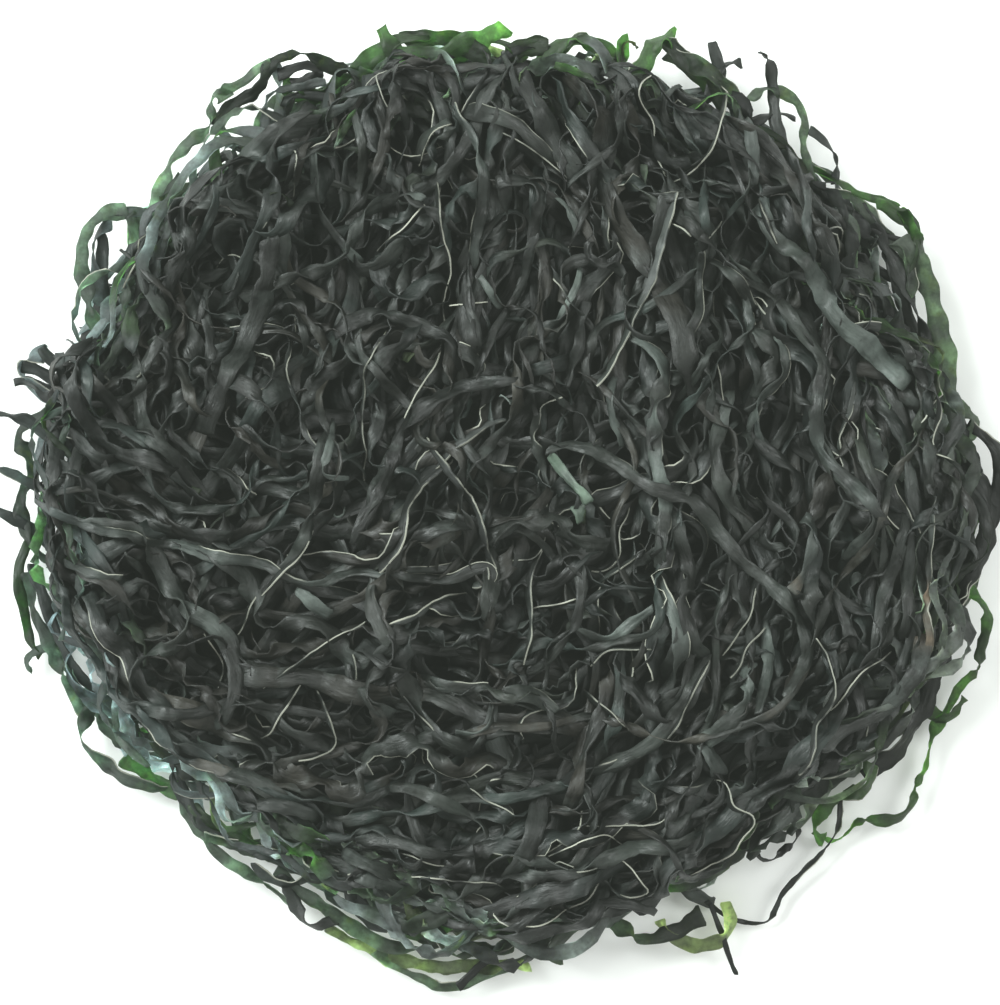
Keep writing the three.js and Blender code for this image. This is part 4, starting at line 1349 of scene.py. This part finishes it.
# Strands that have sprung out of the rim: width, the heights of both ends, then the route in mm
looseKind = {
    "roll": 34, "lean": 6, "flipEvery": 55, "blunt": 0.8, "cup": 0.06, "ripple": 0.3, "edge": 0.2,
    "lift": 0, "ragged": 0.11, "riseWave": 40, "rise": 1.2, "toned": 0.3,
}
looseRibbons = {
    "ink": (
        (3.4, 12, 11, (84, 70), (90, 62), (95, 52), (99, 42), (102, 33)),
        (3.0, 11, 10, (80, 66), (88, 62), (96, 60), (100, 56)),
        (2.6, 11, 10, (86, 56), (93, 52), (100, 50)),
        (3.0, 10, 9, (91, 60), (94, 48), (99, 38), (103, 26)),
        (3.0, 12, 14, (60, 106), (62, 106), (64, 101), (64, 97), (64, 91), (65, 87), (67, 82)),
        (2.8, 9, 13, (70, 90), (66, 92), (62, 91), (58, 88)),
        (3.8, 8, 8, (111, 18), (115, 14), (119, 10), (119, 4), (118, -4),
         (116, -9), (112, -17), (108, -28), (104, -36)),
        (4.4, 9, 7, (110, 8), (114, 4), (117, -2), (116, -7), (114, -16), (110, -21), (108, -29),
         (105, -38), (102, -47), (99, -54), (96, -60), (90, -66), (85, -68)),
        (1.3, 6, 6, (104, -36), (106, -35), (109, -34), (113, -33)),
        (2.0, 6, 5, (60, -86), (62, -89), (66, -88), (67, -85), (70, -85), (71, -80)),
        (3.0, 13, 14, (-55, 100), (-51, 102), (-47, 103), (-43, 101), (-47, 99), (-52, 98)),
        (2.4, 7, 6, (-12, -119), (-7, -114), (-4, -112), (0, -108), (5, -103)),
        (3.0, 8, 7, (-55, -91), (-51, -97), (-50, -101), (-48, -104), (-45, -104), (-40, -102)),
    ),
    "slate": (
        (3.2, 10, 9, (-100, 8), (-108, 12), (-113, 17), (-118, 19), (-124, 20)),
        (2.2, 12, 9, (-94, -8), (-106, -1), (-114, 3), (-119, 5), (-123, 7)),
        (3.0, 9, 8, (-96, -24), (-106, -16), (-113, -9), (-118, -6), (-123, -3)),
        (3.0, 9, 8, (-93, -46), (-92, -53), (-89, -59), (-86, -64)),
        (3.4, 9, 7, (-80, -66), (-76, -77), (-70, -81), (-62, -85), (-54, -88), (-46, -91)),
        (1.3, 5, 2.5, (81, -72), (81, -78), (80, -82), (76, -87), (71, -92), (67, -96),
         (65, -101), (64, -104), (60, -104), (54, -103), (48, -98)),
        (1.2, 7, 4, (49, -98), (53, -108), (54, -112), (56, -117)),
        (2.2, 12, 10, (49, 109), (50, 106), (51, 103), (52, 98)),
        (2.6, 12, 11, (57, 103), (54, 104), (52, 103), (50, 100), (48, 94)),
        (2.6, 11, 10, (-80, 66), (-85, 68), (-88, 68), (-93, 68), (-97, 66),
         (-97, 60), (-97, 54), (-96, 47), (-94, 40)),
        (3.0, 9, 10, (-112, 36), (-109, 32), (-103, 29), (-96, 28)),
        (3.0, 10, 11, (-117, 31), (-112, 30), (-107, 26), (-102, 23), (-95, 22)),
        (3.2, 8, 11, (-119, 27), (-114, 28), (-111, 25), (-107, 20), (-100, 16)),
        (3.0, 9, 10, (105, 24), (108, 19), (110, 15), (112, 11), (113, 4)),
        (2.6, 10, 8, (-114, -16), (-112, -23), (-110, -28),
         (-108, -34), (-105, -40), (-102, -44), (-97, -49)),
        (2.6, 8, 9, (-61, -88), (-58, -92), (-53, -94), (-49, -93), (-45, -90)),
        (2.2, 12, 12, (79, 74), (79, 78), (80, 80), (78, 83), (75, 86), (72, 88)),
    ),
    "moss": (
        (3.2, 7, 7, (-102, -46), (-100, -50), (-97, -55), (-93, -60), (-88, -63), (-81, -63), (-76, -60)),
        (3.0, 8, 8, (-73, -82), (-66, -84), (-58, -86), (-50, -90), (-44, -93)),
        (3.4, 8, 8, (-106, -40), (-103, -48), (-98, -53), (-92, -55), (-87, -60)),
        (3.6, 13, 12, (-90, 68), (-95, 68), (-99, 66), (-101, 61),
         (-102, 55), (-100, 49), (-100, 44), (-97, 38)),
        (3.0, 11, 12, (-90, 68), (-89, 62), (-89, 56), (-90, 52), (-88, 46)),
        (3.4, 9, 7, (-108, 22), (-114, 18), (-117, 16), (-118, 13), (-115, 10), (-114, 5),
         (-116, 1), (-117, -2), (-116, -8), (-115, -12), (-110, -17)),
        (3.4, 6, 7, (-115, -18), (-115, -23), (-114, -29), (-111, -34),
         (-109, -38), (-107, -43), (-103, -50), (-100, -56)),
        (2.4, 5, 6, (-108, -36), (-114, -38), (-117, -40), (-114, -44)),
        (3.6, 8, 7, (-97, -48), (-102, -54), (-103, -59), (-100, -62),
         (-96, -65), (-93, -68), (-88, -70), (-83, -71), (-78, -70)),
        (2.8, 7, 6, (-80, -66), (-78, -72), (-76, -79), (-72, -84),
         (-67, -89), (-61, -92), (-55, -96), (-51, -99)),
        (3.4, 8, 7, (-56, -90), (-47, -97), (-43, -100), (-39, -103),
         (-34, -106), (-28, -109), (-22, -110), (-14, -107)),
        (2.6, 5, 5, (-32, -110), (-27, -114), (-23, -116), (-19, -117), (-17, -119),
         (-13, -119), (-9, -118), (-6, -116), (-1, -114), (6, -112)),
        (3.4, 7, 8, (-22, -104), (-18, -110), (-14, -107), (-9, -108), (-3, -110), (3, -108)),
        (3.6, 14, 14, (-84, 66), (-83, 72), (-81, 76), (-81, 79), (-78, 82), (-75, 85),
         (-72, 86), (-70, 89), (-71, 94), (-69, 97), (-66, 94)),
        (3.4, 13, 14, (-70, 88), (-65, 94), (-61, 96), (-59, 97), (-57, 101), (-56, 104), (-52, 105),
         (-48, 106), (-45, 104), (-42, 102), (-39, 102), (-36, 101), (-33, 96)),
        (2.6, 14, 13, (-69, 97), (-65, 97), (-61, 100), (-59, 102), (-55, 104)),
        (4.4, 13, 12, (38, 106), (44, 104), (50, 100), (55, 95), (58, 90)),
        (2.6, 12, 12, (58, 94), (62, 98), (65, 97), (69, 95), (71, 92),
         (72, 89), (71, 85), (72, 80), (73, 74)),
        (3.4, 12, 11, (74, 72), (79, 72), (84, 71), (87, 67), (91, 62), (95, 60), (97, 54), (98, 47)),
        (5.0, 11, 9, (94, 62), (97, 58), (99, 54), (102, 49), (104, 42),
         (105, 35), (106, 28), (107, 23), (108, 16)),
        (3.4, 10, 9, (102, 26), (107, 23), (110, 20), (113, 19), (113, 16), (109, 12)),
        (3.0, 7, 8, (3, -106), (9, -110), (15, -112)),
        (4.0, 9, 8, (16, -100), (23, -102), (27, -103), (31, -107), (35, -107), (42, -105), (48, -100)),
    ),
    "leaf": (
        (2.6, 8, 4, (100, -14), (111, -22), (117, -28), (115, -35), (114, -38), (115, -42), (111, -44),
         (108, -49), (106, -53), (103, -57), (102, -64), (101, -68), (98, -70), (99, -74), (96, -78),
         (92, -79), (86, -78), (84, -80), (81, -84), (78, -84), (74, -81)),
        (2.4, 6, 5, (-114, -8), (-117, -15), (-118, -19), (-117, -25),
         (-116, -30), (-115, -36), (-112, -40)),
        (5.4, 15, 15, (-26, 103), (-28, 108), (-30, 113)),
        (4.2, 14, 15, (-36, 101), (-31, 106), (-25, 109), (-18, 110)),
        (4.8, 14, 14, (-25, 108), (-16, 110), (-9, 107), (-3, 103)),
        (5.2, 14, 14, (-16, 103), (-8, 108), (1, 112)),
        (4.2, 13, 13, (-5, 109), (1, 108), (5, 103)),
        (4.4, 13, 13, (-1, 104), (6, 108), (11, 107)),
        (5.0, 13, 13, (10, 102), (15, 108), (21, 110)),
        (4.0, 13, 13, (17, 109), (23, 107), (30, 103)),
        (3.6, 14, 13, (27, 101), (28, 106), (28, 111)),
        (4.8, 14, 12, (31, 99), (34, 106), (37, 110), (41, 109)),
        (4.2, 13, 12, (37, 109), (43, 104), (49, 98), (53, 92)),
        (4.6, 12, 10, (88, 70), (94, 68), (98, 65), (100, 60)),
        (2.6, 8, 7, (-101, -46), (-95, -52), (-90, -56), (-83, -58), (-78, -57)),
        (2.4, 9, 8, (-76, -74), (-70, -80), (-62, -83), (-54, -88)),
        (5.4, 8, 7, (-92, -62), (-88, -66), (-83, -70), (-77, -72)),
        (3.6, 13, 13, (-54, 98), (-49, 98), (-46, 96), (-42, 97), (-39, 100), (-36, 101), (-31, 98)),
        (2.0, 11, 10, (73, 79), (78, 76), (83, 73), (87, 71), (92, 71), (95, 68)),
        (3.8, 11, 10, (94, 69), (97, 66), (97, 63), (99, 61), (100, 58), (97, 52)),
        (5.5, 6, 6, (113, 2), (112, -4), (110, -9), (109, -14), (110, -19), (106, -26)),
        (4.0, 6, 6, (100, -50), (104, -54), (108, -54), (111, -48)),
        (3.0, 6, 7, (-94, -54), (-90, -58), (-85, -60), (-81, -63)),
        (4.0, 7, 6, (88, -64), (88, -71), (83, -72), (79, -74), (75, -77), (74, -82), (78, -84)),
    ),
    "lime": (
        (3.6, 6, 7, (37, -102), (39, -106), (42, -108), (47, -109),
         (51, -108), (54, -106), (54, -102), (53, -97)),
        (2.6, 5, 5, (-44, -104), (-42, -105), (-39, -107), (-35, -109), (-31, -111), (-27, -114)),
        (3.2, 6, 5, (-29, -111), (-23, -113), (-18, -114), (-11, -114), (-4, -114), (2, -113), (7, -114)),
        (2.8, 14, 14, (27, 102), (27, 106), (29, 110), (32, 106)),
    ),
    "mist": (
        (3.2, 10, 9, (-66, -74), (-58, -78), (-51, -77), (-44, -79)),
        (2.8, 13, 14, (-56, 104), (-54, 100), (-54, 95), (-54, 90), (-55, 85)),
        (3.2, 12, 12, (-94, 66), (-99, 62), (-99, 56), (-97, 50), (-98, 44)),
        (4.2, 9, 10, (-110, 34), (-115, 33), (-118, 30), (-113, 25), (-106, 22)),
        (3.0, 8, 9, (-104, -34), (-107, -40), (-104, -46), (-99, -50), (-93, -54)),
        (3.4, 8, 8, (-75, -72), (-74, -78), (-69, -82), (-62, -85), (-54, -88)),
        (2.6, 10, 10, (-70, 90), (-66, 84), (-61, 81), (-56, 80)),
    ),
}

# How far light comes through each colour of strand
throughLight = {"ink": 0.25, "slate": 0.42, "moss": 0.74, "leaf": 0.72, "lime": 0.95, "mist": 0.66}


def makeLooseRibbons():
    ribbons = []
    for name, rows in looseRibbons.items():
        for width, start, end, *points in rows:
            x, y = smoothRoute(points)
            ribbon = {"x": x, "y": y, "middleWidth": width, "order": np.zeros(len(x))}
            shapeRibbon(ribbon, looseKind)
            rise = sway(ribbon["along"], looseKind["riseWave"], looseKind["rise"])
            ribbon["z"] = np.linspace(start, end, len(x)) + rise
            liftOffFloor(ribbon)
            paint(ribbon, (name, name), (0.5, 0.5), throughLight[name])
            # Painted light, at part of its strength: paler and bluer towards the lamps
            ribbon["tint"][:, :3] *= rimPaintedLight(x, y, looseKind["toned"])
            ribbons.append(ribbon)
    return ribbons


# Flat ribbons that the nest lies on
underKind = {
    "count": 70, "tries": 3, "shortest": 80, "longest": 170, "width": (3.5, 6.0), "within": 0.75,
    "limit": 0.8, "stray": 0.5, "follow": 0.02, "waves": ((90, 8), (44, 2.0)), "roll": 5, "lean": 0,
    "flipEvery": 900, "blunt": 0.5, "cup": 0.03, "ripple": 0.1, "edge": 0.2, "lift": 0,
    "colours": ("ink", "slate", "bark"), "weights": (0.5, 0.3, 0.2), "thin": 0.1, "highest": 2.6,
    "riseWave": 60, "rise": 0.3,
}


def makeUnderRibbons():
    ribbons = chooseRoutes(underKind)
    for number, ribbon in enumerate(ribbons):
        ribbon["order"] = np.zeros(len(ribbon["x"]))
        shapeRibbon(ribbon, underKind)
        share = number / len(ribbons)
        rise = sway(ribbon["along"], underKind["riseWave"], underKind["rise"])
        ribbon["z"] = underKind["highest"] * share + rise
        liftOffFloor(ribbon)
        paint(ribbon, underKind["colours"], underKind["weights"], underKind["thin"])
    return ribbons


# The colours of the ribbons that aren't listed one by one, and how far the ends of all that are laid dip
laidLook = {
    "colours": ("ink", "slate", "bark", "teal", "moss"), "weights": (0.54, 0.17, 0.14, 0.13, 0.02),
    "thin": 0.04, "dip": (0.5, 3.5), "dipLength": 14,
}

laidKinds = {}
for name, kind in topKinds.items():
    laidKinds[name] = chooseRoutes(kind)
    for ribbon in laidKinds[name]:
        shapeRibbon(ribbon, kind)
for ribbon in makeHandRibbons():
    laidKinds.setdefault(ribbon["piece"], []).append(ribbon)
allLaid = [ribbon for ribbons in laidKinds.values() for ribbon in ribbons]
weave(allLaid)
highest = max(ribbon["z"].max() for ribbon in allLaid)
print("laid", len(allLaid), "ribbons, the highest at", round(highest, 1), "mm")

makeCore()
for name, ribbons in laidKinds.items():
    for ribbon in ribbons:
        dipEnds(ribbon, rng.uniform(*laidLook["dip"]), laidLook["dipLength"])
        if "tint" not in ribbon:
            paint(ribbon, laidLook["colours"], laidLook["weights"], laidLook["thin"])
            # Painted shade and light: ribbons laid lower are painted darker, those on top a little paler
            paintedOrderShade = np.interp(ribbon["order"], tones["paintedShadeFrom"], (tones["deep"], tones["dustAndTopLight"]))[:, None]
            ribbon["tint"][:, :3] *= paintedOrderShade
            # Painted light: near the rim, paler and bluer towards the lamps
            ribbon["tint"][:, :3] *= rimPaintedLight(ribbon["x"], ribbon["y"])
    placePiece(name, ribbonMesh(name, ribbons))
for name, kind in rimKinds.items():
    placePiece(name, ribbonMesh(name, [rimRibbon(kind, number) for number in range(kind["count"])]))
placePiece("looseRibbons", ribbonMesh("looseRibbons", makeLooseRibbons()))
cover[:] = 0  # what lies on top doesn't count below
placePiece("underRibbons", ribbonMesh("underRibbons", makeUnderRibbons()))
